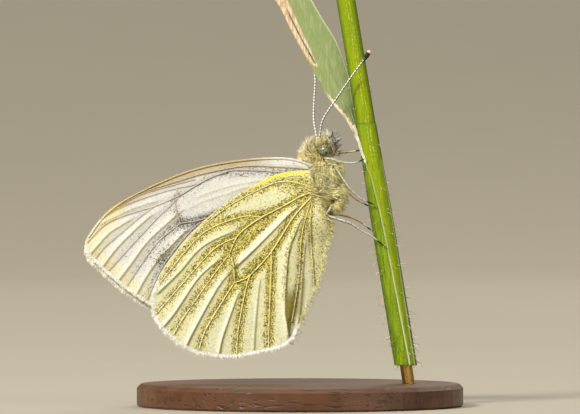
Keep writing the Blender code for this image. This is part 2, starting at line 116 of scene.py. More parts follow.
HINDWING_VEINS = {
    "costa": (0.09, 0.05, 0.75, 0.4, (
        (-0.2, -0.2), (-1.2, 0.2), (-2.6, 0.4), (-4.3, 0.0), (-7.8, -1.8), (-10.7, -3.9))),
    "radius": (0.11, 0.07, 1.0, 0.95, (
        (-0.1, -0.7), (-1.2, -1.1), (-2.6, -1.9), (-4.9, -3.1), (-6.4, -4.1), (-7.4, -5.1),
        (-8.1, -6.7))),
    "radial_sector": (0.07, 0.04, 0.95, 0.35, (
        (-4.9, -3.1), (-6.3, -3.0), (-7.7, -3.3), (-9.3, -3.9), (-10.7, -4.7), (-12.2, -6.2),
        (-14.8, -9.4))),
    "median_1": (0.07, 0.04, 1.0, 0.35, (
        (-7.4, -5.1), (-8.8, -5.7), (-10.1, -6.7), (-12.7, -9.6), (-15.3, -12.6))),
    "median_2": (0.07, 0.04, 1.0, 0.38, (
        (-8.1, -6.7), (-10.2, -9.5), (-12.5, -12.8), (-13.7, -14.8))),
    "cell_end": (0.05, 0.06, 0.8, 0.9, ((-8.1, -6.7), (-7.7, -7.8), (-7.6, -9.5))),
    "median_3": (0.08, 0.05, 1.0, 0.55, (
        (-7.6, -9.5), (-8.5, -10.9), (-10.4, -14.1), (-11.1, -16.1))),
    "cubitus": (0.11, 0.08, 1.0, 1.0, (
        (-0.1, -1.1), (-1.9, -3.2), (-4.0, -6.5), (-6.1, -8.8), (-7.0, -9.3), (-7.6, -9.5))),
    "cubitus_1": (0.08, 0.05, 1.0, 0.75, (
        (-6.1, -8.8), (-6.5, -10.2), (-7.2, -13.9), (-7.4, -16.6))),
    "cubitus_2": (0.08, 0.05, 1.0, 0.8, (
        (-4.0, -6.5), (-4.0, -8.2), (-4.2, -13.1), (-4.3, -16.1))),
    "anal_2": (0.06, 0.04, 0.85, 0.6, ((-0.1, -1.3), (-1.0, -4.8), (-1.3, -9.0), (-2.0, -13.3))),
    "anal_3": (0.06, 0.04, 0.65, 0.3, ((0.0, -1.4), (-0.2, -4.0), (0.2, -9.7))),
}

# Folds between the veins: height of the crest, then the route from the body outwards.
FOREWING_FOLDS = {
    "radius_2_5": (0.05, (
        (-14.4, -1.3), (-16.4, -1.8), (-18.0, -2.4), (-19.4, -3.1), (-20.9, -3.8))),
    "radius_5_median_1": (0.09, ((-17.3, -3.0), (-18.8, -3.9), (-20.0, -4.7), (-21.9, -6.8))),
    "median_1_2": (0.11, ((-15.1, -2.5), (-16.4, -3.4), (-19.0, -5.9), (-20.8, -8.2))),
    "median_2_3": (0.12, (
        (-12.0, -2.0), (-13.1, -2.7), (-16.0, -5.3), (-17.9, -7.8), (-19.2, -9.5))),
    "median_3_cubitus": (0.12, (
        (-11.4, -3.9), (-12.9, -4.9), (-15.3, -7.5), (-16.4, -9.1), (-17.4, -10.9))),
    "cubitus_1_2": (0.08, ((-9.5, -3.5), (-11.5, -5.8), (-13.4, -8.7), (-15.3, -11.8))),
    "cell_upper": (0.04, ((-2.2, 0.4), (-4.9, 0.5), (-7.1, 0.2), (-9.5, -0.4), (-11.5, -1.2))),
    "cell_lower": (0.04, ((-2.6, 0.0), (-6.1, -0.1), (-8.5, -0.8), (-10.7, -1.5), (-12.4, -2.4))),
}
HINDWING_FOLDS = {
    "costa_radius": (0.02, ((-1.2, -0.3), (-3.6, -1.2), (-6.6, -2.2), (-9.2, -3.3))),
    "sector_median": (0.11, (
        (-7.1, -4.2), (-9.5, -5.2), (-11.2, -6.3), (-13.1, -8.5), (-15.3, -10.6))),
    "median_1_2": (0.14, (
        (-8.5, -6.9), (-10.0, -7.9), (-11.4, -9.3), (-13.4, -12.3), (-14.7, -13.9))),
    "cell": (0.19, ((-0.9, -1.6), (-2.4, -2.9), (-4.1, -4.6), (-5.9, -6.4), (-7.5, -7.9))),
    "median_2_3": (0.17, (
        (-7.5, -7.9), (-8.8, -9.3), (-9.9, -11.0), (-11.7, -14.3), (-12.4, -15.8))),
    "median_3_cubitus": (0.15, ((-7.1, -10.2), (-7.7, -11.7), (-8.8, -14.8), (-9.2, -16.6))),
    "cubitus_1_2": (0.07, ((-4.9, -8.4), (-5.3, -10.2), (-5.7, -14.6), (-5.8, -16.4))),
    "cubitus_anal": (0.22, (
        (-0.9, -2.7), (-1.8, -4.9), (-2.4, -6.9), (-2.7, -11.7), (-2.5, -13.6), (-2.2, -15.4))),
    "anal_2_3": (0.08, ((-0.6, -4.8), (-0.9, -7.4), (-1.2, -11.7), (-1.5, -13.6))),
}

# Legs: number of the knee's point, then X, Y and Z from the body to the claw.
LEGS = {
    "foreleg_right": (3, (
        (3.9, -0.7, 22.7), (3.5, -0.95, 23.0), (2.9, -1.15, 23.6), (2.3, -1.4, 24.15),
        (3.0, -1.55, 24.2), (3.8, -1.5, 23.95), (4.8, -1.4, 23.8), (5.6, -1.3, 23.9),
        (6.2, -1.25, 24.15))),
    "midleg_right": (3, (
        (3.8, -0.8, 20.7), (3.7, -1.05, 21.3), (3.4, -1.2, 22.6), (3.23, -1.6, 23.45),
        (3.75, -1.85, 22.9), (4.6, -2.0, 21.6), (5.15, -1.85, 21.0), (5.9, -1.65, 20.35),
        (7.1, -1.5, 19.8))),
    "hindleg_right": (2, (
        (3.2, -0.6, 19.9), (2.95, -1.35, 19.4), (2.62, -2.05, 18.75), (3.3, -2.15, 18.45),
        (4.2, -2.1, 18.15), (4.9, -2.05, 17.9), (5.9, -1.85, 17.25), (6.9, -1.7, 16.7),
        (8.1, -1.55, 15.8))),
    "foreleg_left": (2, (
        (4.0, 0.9, 22.7), (3.4, 1.6, 23.3), (2.7, 1.75, 24.1), (3.4, 1.75, 24.6), (4.1, 1.6, 24.8),
        (5.5, 1.2, 25.0), (5.85, 1.1, 25.1))),
    "midleg_left": (2, (
        (3.8, 1.0, 20.7), (3.7, 1.9, 21.3), (3.35, 2.4, 22.8), (4.3, 2.2, 21.9),
        (4.9, 1.95, 20.85), (5.6, 1.65, 20.2), (6.75, 1.2, 19.6))),
    "hindleg_left": (2, (
        (3.6, 0.9, 19.9), (3.3, 1.9, 19.4), (2.9, 2.6, 18.85), (3.7, 2.4, 18.8), (4.6, 2.1, 18.6),
        (5.9, 1.6, 18.05), (6.95, 1.15, 17.25))),
}
ANTENNAE = {
    "antenna_right": ((1.9, -0.35, 26.2), (2.25, -0.8, 28.05), (3.5, -1.3, 30.0),
                      (4.83, -1.8, 31.95), (6.1, -2.2, 33.7), (6.5, -2.3, 34.25),
                      (6.8, -2.35, 34.75)),
    "antenna_left": ((1.65, 0.35, 26.2), (1.35, 0.9, 28.2), (1.42, 1.5, 30.4),
                     (1.5, 1.95, 32.0), (1.25, 2.35, 34.0), (1.15, 2.5, 34.7),
                     (1.05, 2.6, 35.3)),
}
PALP_ROUTE = ((3.15, 0.52, 24.5), (3.38, 0.52, 25.05), (3.16, 0.52, 25.95), (2.94, 0.5, 26.5))
EYE_CENTRE = (2.4, 0.84, 25.03)
EYE_HALF = (0.52, 0.52, 0.55)
FEELER_RING = 0.32             # length of one joint of a feeler
PROBOSCIS_CENTRE = (3.66, 0.0, 24.75)
TONGUE_TURNS = 2.6
TONGUE_RING = 0.05
CHEEK_LINE = ((1.35, 25.65), (1.6, 25.1), (2.15, 24.5))    # bare groove behind the eye
HIP_PIT = (3.22, 20.05)        # bare pit above the hind leg's hip, painted dark with shade

# Which way the coat lies on the near side: X and Z, then the direction in X and Z, its length.
COAT_GUIDES = (
    ((0.4, 25.4), (-0.5, 0.87), 1.35), ((0.85, 25.6), (-0.1, 0.99), 1.65),
    ((0.1, 24.5), (-0.85, 0.5), 1.2), ((2.1, 26.3), (-0.1, 1.0), 0.9),
    ((2.6, 26.4), (0.1, 1.0), 1.1), ((2.9, 26.1), (0.35, 0.93), 1.0),
    ((2.5, 25.7), (0.3, 0.95), 0.7), ((1.0, 24.3), (-0.5, 0.3), 0.9),
    ((1.9, 24.2), (0.1, -0.99), 0.5), ((2.9, 24.1), (0.6, -0.8), 0.6),
    ((2.8, 23.4), (0.3, -0.95), 0.8), ((3.6, 23.4), (0.8, -0.6), 0.75),
    ((4.0, 22.5), (0.85, -0.5), 0.75), ((2.35, 22.5), (0.1, -0.99), 0.55),
    ((1.4, 23.2), (0.5, 0.1), 0.5), ((1.5, 22.3), (0.3, -0.95), 0.5),
    ((1.9, 21.5), (0.85, 0.35), 0.8), ((1.8, 20.9), (0.9, 0.3), 1.0),
    ((2.9, 21.0), (0.98, 0.15), 1.1), ((3.6, 20.9), (1.0, -0.05), 1.0),
    ((4.4, 20.5), (0.97, -0.25), 0.8), ((2.2, 20.0), (0.7, -0.6), 0.8),
    ((3.0, 19.4), (0.7, -0.7), 0.85), ((3.9, 19.2), (0.85, -0.53), 0.8),
    ((3.6, 18.6), (0.75, -0.66), 0.8), ((2.9, 17.7), (0.75, -0.66), 0.75),
    ((1.8, 17.7), (0.3, -0.95), 0.6), ((1.6, 14.0), (0.5, -0.86), 0.6),
    ((0.6, 10.5), (0.5, -0.86), 0.55), ((-0.2, 9.5), (-0.1, -1.0), 0.45),
)

STEM_FOOT = (10.37, 4.0)
STEM_HEAD = (4.13, 42.0)
COLLAR_HEIGHT = 27.7
LEAF_BLADE = (
    (-1.6, 41.3, 1.50), (-0.65, 39.8, 1.50), (0.8, 37.2, 1.62), (2.3, 34.5, 1.68),
    (3.45, 31.8, 1.42), (4.15, 30.0, 0.98), (4.9, 28.5, 0.55), (5.5, 27.0, 0.30),
)
LEAF_CUP = 0.22
LEAF_THICKNESS = 0.12
FILM_THICKNESS = 0.05
TEAR_ROUTE = ((-2.2, 40.9), (-0.8, 37.9), (0.3, 35.7), (1.6, 33.4))

VIEW_CENTRE = (-0.98, 19.5)    # X and Z that the camera looks at
VIEW_WIDTH = 56.84             # width of the view at the insect
CAMERA_DISTANCE = 500.0
FILM_WIDTH = 36.0
FLOOR_RADIUS = 0.9             # of the flat middle of the floor, in metres
FLOOR_RISE = 1.6               # radius of the curve at its edge, in metres


# Small sums ---------------------------------------------------------------------------------
def step(low, high, value):
    """Smooth rise from 0 at low to 1 at high (or fall, where low is above high)."""
    t = np.clip((np.asarray(value, float) - low) / (high - low), 0.0, 1.0)
    return t * t * (3 - 2 * t)


def bump(distance, width):
    """1 at no distance, falling smoothly to almost nothing at twice the width."""
    return np.exp(-(np.asarray(distance) / width) ** 2)


def spot(flat, centre, width, stretch=1.0):
    """Soft round patch, stretched along X: 1 at its centre, falling as a bump does."""
    x, z = (flat - centre).T
    return bump(np.hypot(x / stretch, z), width)


def unit(vectors):
    """The same directions at a length of one."""
    length = np.linalg.norm(vectors, axis=-1, keepdims=True)
    return vectors / np.maximum(length, 1e-9)


def travelled_along(route):
    """How far each point of a route lies from its start."""
    return np.concatenate([[0], np.cumsum(np.linalg.norm(np.diff(route, axis=0), axis=1))])


def smooth_route(points, per_span=8):
    """Points read from a smooth curve through the given ones."""
    rows = np.asarray(points, float)
    rows = np.vstack([2 * rows[0] - rows[1], rows, 2 * rows[-1] - rows[-2]])
    t = np.linspace(0.0, 1.0, per_span, endpoint=False)[:, None]
    spans = [0.5 * (2 * b + (c - a) * t + (2 * a - 5 * b + 4 * c - d) * t ** 2
                    + (3 * b - a - 3 * c + d) * t ** 3)
             for a, b, c, d in zip(rows, rows[1:], rows[2:], rows[3:])]
    return np.vstack(spans + [rows[-2]])


def even_route(points, spacing):
    """The same route with its points a fixed distance apart."""
    points = np.asarray(points, float)
    travelled = travelled_along(points)
    count = max(2, round(travelled[-1] / spacing) + 1)
    places = np.linspace(0, travelled[-1], count)
    return np.column_stack([np.interp(places, travelled, column) for column in points.T])


def nearest(points, route):
    """Distance to a flat route, place along it from 0 to 1, and side (positive on its left)."""
    start, run = route[:-1], np.diff(route, axis=0)
    length = np.linalg.norm(run, axis=1)
    travelled = travelled_along(route)
    offset = points[:, None] - start
    t = np.clip((offset * run).sum(2) / np.maximum(length ** 2, 1e-12), 0, 1)
    offset = offset - t[..., None] * run
    gap = (offset ** 2).sum(2)
    pick = gap.argmin(1)
    row = np.arange(len(points))
    side = np.sign(run[pick, 0] * offset[row, pick, 1] - run[pick, 1] * offset[row, pick, 0])
    place = (travelled[pick] + t[row, pick] * length[pick]) / travelled[-1]
    return np.sqrt(gap[row, pick]), place, side


def nearest_curve(points, corners):
    """The same for the smooth curve through a few corners."""
    return nearest(points, smooth_route(corners))


def inside(points, outline):
    """Which points lie within a closed flat outline."""
    x, z = points[:, 0, None], points[:, 1, None]
    x0, z0 = outline[:, 0], outline[:, 1]
    x1, z1 = np.roll(x0, -1), np.roll(z0, -1)
    crosses = (z0 > z) != (z1 > z)
    rise = np.where(z1 == z0, 1.0, z1 - z0)
    return (crosses & (x < (x1 - x0) * (z - z0) / rise + x0)).sum(1) % 2 == 1


def linear(code):
    """Linear colour from an sRGB hex code."""
    values = [int(code[i:i + 2], 16) / 255 for i in (1, 3, 5)]
    return tuple(v / 12.92 if v <= 0.04045 else ((v + 0.055) / 1.055) ** 2.4 for v in values)


# Meshes -------------------------------------------------------------------------------------
def new_object(name, points, faces, attributes=None, smooth=True):
    """An object from points in millimetres and lists of corners, with its attributes, each
    given for every point or as one value for all."""
    mesh = bpy.data.meshes.new(name)
    mesh.from_pydata((np.asarray(points) * MM).tolist(), [], [tuple(face) for face in faces])
    for key, values in (attributes or {}).items():
        values = np.asarray(values, np.float32)
        if values.ndim == 0:
            values = np.full(len(points), values)
        kind = "FLOAT" if values.ndim == 1 else "FLOAT_VECTOR"
        field = "value" if values.ndim == 1 else "vector"
        mesh.attributes.new(key, kind, "POINT").data.foreach_set(field, values.ravel())
    if smooth:
        mesh.shade_smooth()
    mesh.update()
    made = bpy.data.objects.new(name, mesh)
    bpy.context.scene.collection.objects.link(made)
    return made


def remove_object(item):
    """Delete an object, and its mesh where nothing else uses it."""
    mesh = item.data
    bpy.data.objects.remove(item, do_unlink=True)
    if mesh.users == 0:
        bpy.data.meshes.remove(mesh)


def settle(item, name=None):
    """Turn an object with live modifiers into a plain mesh object."""
    evaluated = item.evaluated_get(bpy.context.evaluated_depsgraph_get())
    mesh = bpy.data.meshes.new_from_object(evaluated)
    name = name or item.name
    remove_object(item)
    mesh.name = name
    made = bpy.data.objects.new(name, mesh)
    bpy.context.scene.collection.objects.link(made)
    return made


def thicken(item, thickness, offset=0.0):
    """Give a sheet its thickness in metres, as a plain mesh object."""
    solid = item.modifiers.new("thickness", "SOLIDIFY")
    solid.thickness = thickness
    solid.offset = offset
    return settle(item)


def grid_faces(rows, wide, closed=False):
    """Faces between the points of a grid, given row by row, which may close on itself."""
    faces = []
    for low in range(0, (rows - 1) * wide, wide):
        for j in range(wide if closed else wide - 1):
            k = (j + 1) % wide
            faces.append((low + j, low + k, low + wide + k, low + wide + j))
    return faces


def tube_faces(rings, sides):
    """Faces round a tube, and the fans that close its ends on its two last points."""
    faces = grid_faces(rings, sides, closed=True)
    count = rings * sides
    for j in range(sides):
        k = (j + 1) % sides
        faces += [(count, k, j), (count + 1, count - sides + j, count - sides + k)]
    return faces


def frames_along(route):
    """Unit side and up at each point of a route, turning as little as possible."""
    up = np.array((0.0, -1.0, 0.0))
    side = np.empty_like(route)
    rise = np.empty_like(route)
    for i, along in enumerate(unit(np.gradient(route, axis=0))):
        up = unit(up - along * np.dot(up, along))
        rise[i] = up
        side[i] = np.cross(along, up)
    return side, rise


TUBE_SIDES = 8


def tube(route, radii, sides=TUBE_SIDES):
    """Points and faces of a closed round tube, with each point's place along and around."""
    side, rise = frames_along(route)
    angle = np.arange(sides) * 2 * np.pi / sides
    ring = (np.cos(angle)[None, :, None] * side[:, None]
            + np.sin(angle)[None, :, None] * rise[:, None])
    points = (route[:, None] + ring * radii[:, None, None]).reshape(-1, 3)
    travelled = travelled_along(route)
    along = np.concatenate([np.repeat(travelled, sides), [0.0, travelled[-1]]])
    around = np.concatenate([np.tile(angle, len(route)), [0.0, 0.0]])
    return (np.vstack([points, route[0], route[-1]]), tube_faces(len(route), sides), along,
            around)


def off_middle(points, along, route):
    """For each point of a tube, its place from 0 to 1, its ring and its way off the middle."""
    place = along / along.max()
    ring = np.round(place * (len(route) - 1)).astype(int)
    return place, ring, unit(points - route[ring] + 1e-6)


def join(parts):
    """Join several (points, faces, attributes) into one."""
    points, faces, attributes, base = [], [], {}, 0
    for part_points, part_faces, part_attributes in parts:
        points.append(part_points)
        faces += [tuple(corner + base for corner in face) for face in part_faces]
        base += len(part_points)
        for key, values in part_attributes.items():
            attributes.setdefault(key, []).append(np.asarray(values, float))
    return np.vstack(points), faces, {k: np.concatenate(v) for k, v in attributes.items()}


def ellipsoid(centre, half, segments=24, rings=16, lean=0.0):
    """Points and faces of an ellipsoid, leaning by an angle about Y."""
    points, faces = [(0.0, 0.0, 1.0)], []
    for i in range(1, rings):
        polar = math.pi * i / rings
        for j in range(segments):
            turn = 2 * math.pi * j / segments
            points.append((math.sin(polar) * math.cos(turn), math.sin(polar) * math.sin(turn),
                           math.cos(polar)))
    points.append((0.0, 0.0, -1.0))
    for j in range(segments):
        k = (j + 1) % segments
        faces.append((0, 1 + j, 1 + k))
        for i in range(rings - 2):
            a, b = 1 + i * segments + j, 1 + i * segments + k
            faces.append((a, a + segments, b + segments, b))
        last = 1 + (rings - 2) * segments
        faces.append((len(points) - 1, last + k, last + j))
    points = np.asarray(points) * half
    c, s = math.cos(lean), math.sin(lean)
    turned = np.column_stack([points[:, 0] * c + points[:, 2] * s, points[:, 1],
                              points[:, 2] * c - points[:, 0] * s])
    return turned + centre, faces


# Node trees ---------------------------------------------------------------------------------
def add(tree, kind, inputs=None, out=0, **settings):
    """Add a node with its properties, and set or link its inputs by name or number.  What
    comes back is the output of that name or number, or the node where out is None."""
    made = tree.nodes.new(kind)
    for key, value in settings.items():
        setattr(made, key, value)
    for key, value in (inputs or {}).items():
        if isinstance(value, bpy.types.NodeSocket):
            tree.links.new(value, made.inputs[key])
        else:
            made.inputs[key].default_value = value
    return made if out is None else made.outputs[out]


def paint(colour):
    """What a colour input takes, from a socket, a hex code or a linear colour."""
    if isinstance(colour, bpy.types.NodeSocket):
        return colour
    return (*(linear(colour) if isinstance(colour, str) else colour), 1.0)


class Surface:
    """A material under construction: its Principled shader and the nodes that feed it."""

    def __init__(self, name, roughness, **sockets):
        self.material = bpy.data.materials.new(name)
        self.material.use_nodes = True
        self.tree = self.material.node_tree
        self.shader = self.tree.nodes["Principled BSDF"]
        self.shader.inputs["Roughness"].default_value = roughness
        for key, value in sockets.items():
            self.shader.inputs[key.replace("_", " ")].default_value = value
        self.place = self.add("ShaderNodeTexCoord", out="Object")

    def add(self, kind, inputs=None, out=0, **settings):
        return add(self.tree, kind, inputs, out, **settings)

    def mask(self, where, low=0.0, high=1.0, full=1.0):
        """A mask that goes from 0 to full while a value goes from low to high.  The value is
        a socket, the name of an attribute, or a noise given by the size of its blobs in
        millimetres, its detail and, if not the object's, its coordinates."""
        if isinstance(where, str):
            where = self.add("ShaderNodeAttribute", out="Fac", attribute_name=where)
        elif isinstance(where, tuple):
            size, detail, *space = where
            where = self.add("ShaderNodeTexNoise", {
                "Vector": space[0] if space else self.place, "Scale": 1.0 / (size * MM),
                "Detail": detail})
        return self.add("ShaderNodeMapRange", {0: where, 1: low, 2: high, 4: full})

    def layer(self, tone, colour, where, low=0.0, high=1.0, full=1.0, blend="MIX"):
        """The tone with a colour laid over it, as far as a mask lets it."""
        share = self.mask(where, low, high, full)
        return self.add("ShaderNodeMix", {0: share, 6: paint(tone), 7: paint(colour)}, 2,
                        data_type="RGBA", blend_type=blend)

    def layers(self, tone, *rows):
        """The tone with several colours laid over it in turn, each as layer takes it."""
        for row in rows:
            tone = self.layer(tone, *row)
        return tone

    def rings(self, spacing):
        """A wave along a tube, one to each joint of that many millimetres."""
        turn = self.mask("along", 0.0, spacing, 2 * math.pi)
        turn.node.clamp = False
        return self.add("ShaderNodeMath", {0: turn}, operation="SINE")

    def finish(self, colour, height=None, depth_mm=0.0, strength=1.0):
        """Link the colour and, where there is one, the bump."""
        self.tree.links.new(colour, self.shader.inputs["Base Color"])
        if height is not None:
            turned = self.add("ShaderNodeBump", {"Height": height, "Distance": depth_mm * MM,
                                                 "Strength": strength})
            self.tree.links.new(turned, self.shader.inputs["Normal"])
        return self.material


STRAND_FIELDS = ("cover", "lie", "reach", "girth", "root_uv", "patch")


def strand_tree():
    """Geometry Nodes that plant one strand, hair or scale all over a source surface.

    The source carries these attributes: cover (share of the density), lie (which way a strand
    points), reach (its length in metres), girth (its width in metres) and root_uv (its place
    on the unwrap).  Each strand's own OFBake patch sits at its root's place.
    """
    tree = bpy.data.node_groups.new("strands", "GeometryNodeTree")
    for label, kind in (("Geometry", "Geometry"), ("Strand", "Object"), ("Density", "Float"),
                        ("Spacing", "Float"), ("Disorder", "Float"), ("Patch", "Float"),
                        ("Seed", "Int"), ("Finish", "Material")):
        tree.interface.new_socket(label, in_out="INPUT", socket_type="NodeSocket" + kind)
    tree.interface.new_socket("Geometry", in_out="OUTPUT", socket_type="NodeSocketGeometry")
    entry = add(tree, "NodeGroupInput", out=None).outputs
    read = {name: add(tree, "GeometryNodeInputNamedAttribute", {"Name": name},
                      data_type="FLOAT_VECTOR" if name in ("lie", "patch", "root_uv")
                      else "FLOAT")
            for name in STRAND_FIELDS}
    seeds = [add(tree, "ShaderNodeMath", {0: entry["Seed"], 1: float(more)})
             for more in (1, 2, 3, 4)]
    wide, tall, tint = [
        add(tree, "FunctionNodeRandomValue", {2: low, 3: high, "Seed": seed}, 1)
        for low, high, seed in ((0.7, 1.25, seeds[1]), (0.65, 1.1, seeds[2]),
                                (0.0, 1.0, seeds[3]))]
    stray = add(tree, "FunctionNodeRandomValue", {
        0: (-1.0, -1.0, -1.0), 1: (1.0, 1.0, 1.0), "Seed": seeds[0]},
        data_type="FLOAT_VECTOR")
    spread = add(tree, "GeometryNodeDistributePointsOnFaces", {
        "Mesh": entry["Geometry"], "Density Max": entry["Density"],
        "Distance Min": entry["Spacing"], "Density Factor": read["cover"],
        "Seed": entry["Seed"]}, None, distribute_method="POISSON").outputs
    stray = add(tree, "ShaderNodeVectorMath", {0: stray, "Scale": entry["Disorder"]},
                operation="SCALE")
    aim = add(tree, "ShaderNodeVectorMath", {0: read["lie"], 1: stray}, operation="ADD")
    upright = add(tree, "FunctionNodeAlignRotationToVector", {"Vector": aim}, axis="Z")
    turned = add(tree, "FunctionNodeAlignRotationToVector", {
        "Rotation": upright, "Vector": spread["Normal"]}, axis="Y", pivot_axis="Z")
    girth = add(tree, "ShaderNodeMath", {0: read["girth"], 1: wide}, operation="MULTIPLY")
    reach = add(tree, "ShaderNodeMath", {0: read["reach"], 1: tall}, operation="MULTIPLY")
    size = add(tree, "ShaderNodeCombineXYZ", {"X": girth, "Y": girth, "Z": reach})
    strand = add(tree, "GeometryNodeObjectInfo", {"Object": entry["Strand"]}, "Geometry")
    planted = add(tree, "GeometryNodeInstanceOnPoints", {
        "Points": spread["Points"], "Instance": strand, "Rotation": turned, "Scale": size})
    toned = add(tree, "GeometryNodeStoreNamedAttribute", {
        "Geometry": planted, "Name": "tone", "Value": tint},
        data_type="FLOAT", domain="INSTANCE")
    real = add(tree, "GeometryNodeRealizeInstances", {0: toned})
    patch = add(tree, "ShaderNodeVectorMath", {0: read["patch"], "Scale": entry["Patch"]},
                operation="SCALE")
    baked = add(tree, "ShaderNodeVectorMath", {0: read["root_uv"], 1: patch}, operation="ADD")
    mapped = add(tree, "GeometryNodeStoreNamedAttribute", {
        "Geometry": real, "Name": "OFBake", "Value": baked}, data_type="FLOAT2",
        domain="CORNER")
    dressed = add(tree, "GeometryNodeSetMaterial", {
        "Geometry": mapped, "Material": entry["Finish"]})
    add(tree, "NodeGroupOutput", {0: dressed}, None)
    return tree


def strand_shape(name, sides=3, spans=2, bow=1.8, taper=0.6):
    """A closed, tapering strand one long and one wide, bowed out by a number of widths."""
    points, patch = [], []
    for i in range(spans):
        t = i / spans
        wide = 0.5 * (1.0 - t) ** taper
        for j in range(sides):
            turn = 2 * math.pi * j / sides + math.pi / 2
            points.append((wide * math.cos(turn),
                           bow * 4 * t * (1 - t) + wide * math.sin(turn), t))
            patch.append((j / sides - 0.5, t - 0.5, 0.0))
    points.append((0.0, 0.0, 1.0))
    patch.append((0.0, 0.5, 0.0))
    faces = grid_faces(spans, sides, closed=True)
    tip = len(points) - 1
    for j in range(sides):
        faces.append((tip - sides + j, tip - sides + (j + 1) % sides, tip))
    faces.append(tuple(reversed(range(sides))))
    return new_object(name, np.asarray(points) / MM, faces, {
        "patch": patch, "along": [z for _x, _y, z in points]})


def scale_shape(name, thick=0.12):
    """A flat, closed, kite-shaped scale one long and one wide."""
    points = ((0.0, 0.0, 0.0), (-0.5, 0.0, 0.6), (0.0, 0.0, 1.0), (0.5, 0.0, 0.6),
              (0.0, thick, 0.55), (0.0, -thick, 0.55))
    faces = ((0, 1, 4), (1, 2, 4), (2, 3, 4), (3, 0, 4),
             (1, 0, 5), (2, 1, 5), (3, 2, 5), (0, 3, 5))
    return new_object(name, np.asarray(points) / MM, faces, {
        "patch": [(x, z - 0.5, 0.0) for x, _y, z in points],
        "along": [z for _x, _y, z in points]}, smooth=False)


def plant(name, source, strand, material, slot, density, spacing, disorder, seed):
    """Strands standing all over a source object, as one finished piece, with their number on
    each square millimetre and their least spacing.  The source is used up."""
    tree = bpy.data.node_groups.get("strands") or strand_tree()
    modifier = source.modifiers.new("strands", "NODES")
    modifier.node_group = tree
    values = {"Strand": strand, "Density": density / MM ** 2, "Spacing": spacing * MM,
              "Disorder": disorder, "Patch": COAT_PATCH, "Seed": seed, "Finish": material}
    for item in tree.interface.items_tree:
        if item.item_type == "SOCKET" and item.in_out == "INPUT" and item.name in values:
            modifier[item.identifier] = values[item.name]
    made = settle(source, name)
    for spare in STRAND_FIELDS:
        if spare in made.data.attributes:
            made.data.attributes.remove(made.data.attributes[spare])
    if not made.data.polygons:
        raise RuntimeError(f"{name} came out empty")
    declare(made, slot)


def declare(item, slot, *nodes):
    """Give a finished piece its body, and hide the nodes that it stands for; the slot is not used.
    """
    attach(item, BODY)
    if nodes:
        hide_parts(*nodes)


def dress(item, material, slot, *nodes):
    """The same for a piece that has no material yet."""
    item.data.materials.clear()
    item.data.materials.append(material)
    declare(item, slot, *nodes)


# Settings -----------------------------------------------------------------------------------
def length(label, description, millimetres):
    """A setting that is a length."""
    return FloatProperty(name=label, description=description, default=millimetres * MM,
                         unit="LENGTH", precision=5)


def colour(label, description, code):
    """A setting that is a colour."""
    return FloatVectorProperty(name=label, description=description, default=linear(code),
                               subtype="COLOR", size=3, min=0.0, max=1.0)


class ButterflySizes(bpy.types.PropertyGroup):
    """Sizes that a user would change."""

    wing_mesh: length("Wing mesh", "Spacing of the points in a wing", 0.085)
    wing_thickness: length("Wing thickness", "Thickness of a wing's membrane", 0.09)
    fold_height: FloatProperty(name="Fold height", description="How strongly the wings are "
                               "folded between the veins", default=1.0, min=0.0, max=2.0)
    dust_width: length("Dusting width", "How far the dark scales spread from a vein", 0.56)
    dust_density: FloatProperty(name="Dark scales", description="Dark scales on each square "
                                "millimetre beside a vein", default=210.0, min=0.0)
    fringe: length("Fringe", "Length of the fringe on the wings' outer margins", 0.61)
    coat_density: FloatProperty(name="Coat density", description="Hairs on each square "
                                "millimetre of the body", default=85.0, min=1.0)
    coat_girth: length("Hair width", "Width of a body hair at its root", 0.08)
    coat_length: FloatProperty(name="Coat length", description="Length of the body's hairs "
                               "against the real ones", default=1.0, min=0.2, max=1.5)
    skin_mesh: length("Skin mesh", "Spacing of the points in the body's skin", 0.1)
    feeler_ring: length("Feeler joint", "Length of one joint of a feeler", FEELER_RING)
    seed: IntProperty(name="Seed", description="Which random arrangement of hairs", default=7)


class ButterflyColours(bpy.types.PropertyGroup):
    """Colours that a user would change."""

    forewing: colour("Forewing", "Pale scales of a forewing", "#d4d3ce")
    hindwing: colour("Hindwing", "Lemon scales of a hindwing", "#d8d8b2")
    lemon: colour("Lemon", "Bright yellow at the front edge of a hindwing", "#f5e03c")
    dust: colour("Dusting", "Dark scales along the veins", "#2e2713")
    # Shade is painted shade: the olive put into the creases of the wings.
    shade: colour("Shade", "Olive in the creases of the wings", "#98924c")
    coat: colour("Coat", "Hair of the thorax", "#fbed92")
    collar: colour("Collar", "Hair of the collar", "#d6b56a")
    eye: colour("Eye", "Pale green of the eyes", "#a4aa86")
    feeler: colour("Feeler", "Dark joints of the feelers", "#1d1812")
    culm: colour("Culm", "Bright green of the stem", "#8f9f00")
    blade: colour("Blade", "Grey green of the leaf", "#929d63")
    floor: colour("Floor", "Plain studio floor", "#a9a18f")


# Wings --------------------------------------------------------------------------------------
def forewing_height(x, _z):
    """How far the middle of a forewing lies from the plane between the wings."""
    return 0.45 + 1.05 * step(-4.0, 1.2, x)


def hindwing_height(x, z):
    """The same for a hindwing, which wraps the abdomen behind a crease."""
    slant = (ABDOMEN_TOP[0] - ABDOMEN_TIP[0]) / (ABDOMEN_TOP[1] - ABDOMEN_TIP[1])
    midline = ABDOMEN_TOP[0] + (z - ABDOMEN_TOP[1]) * slant
    crease = -1.4 + 1.7 * step(13.0, 19.5, z)
    flank = 0.75 * step(crease, midline + 0.2, x)
    margin = 0.5 * step(midline, midline + 1.6, x)
    return 1.08 + 0.85 * step(-4.5, 0.8, x) - step(19.0, 15.5, z) * (flank + margin)


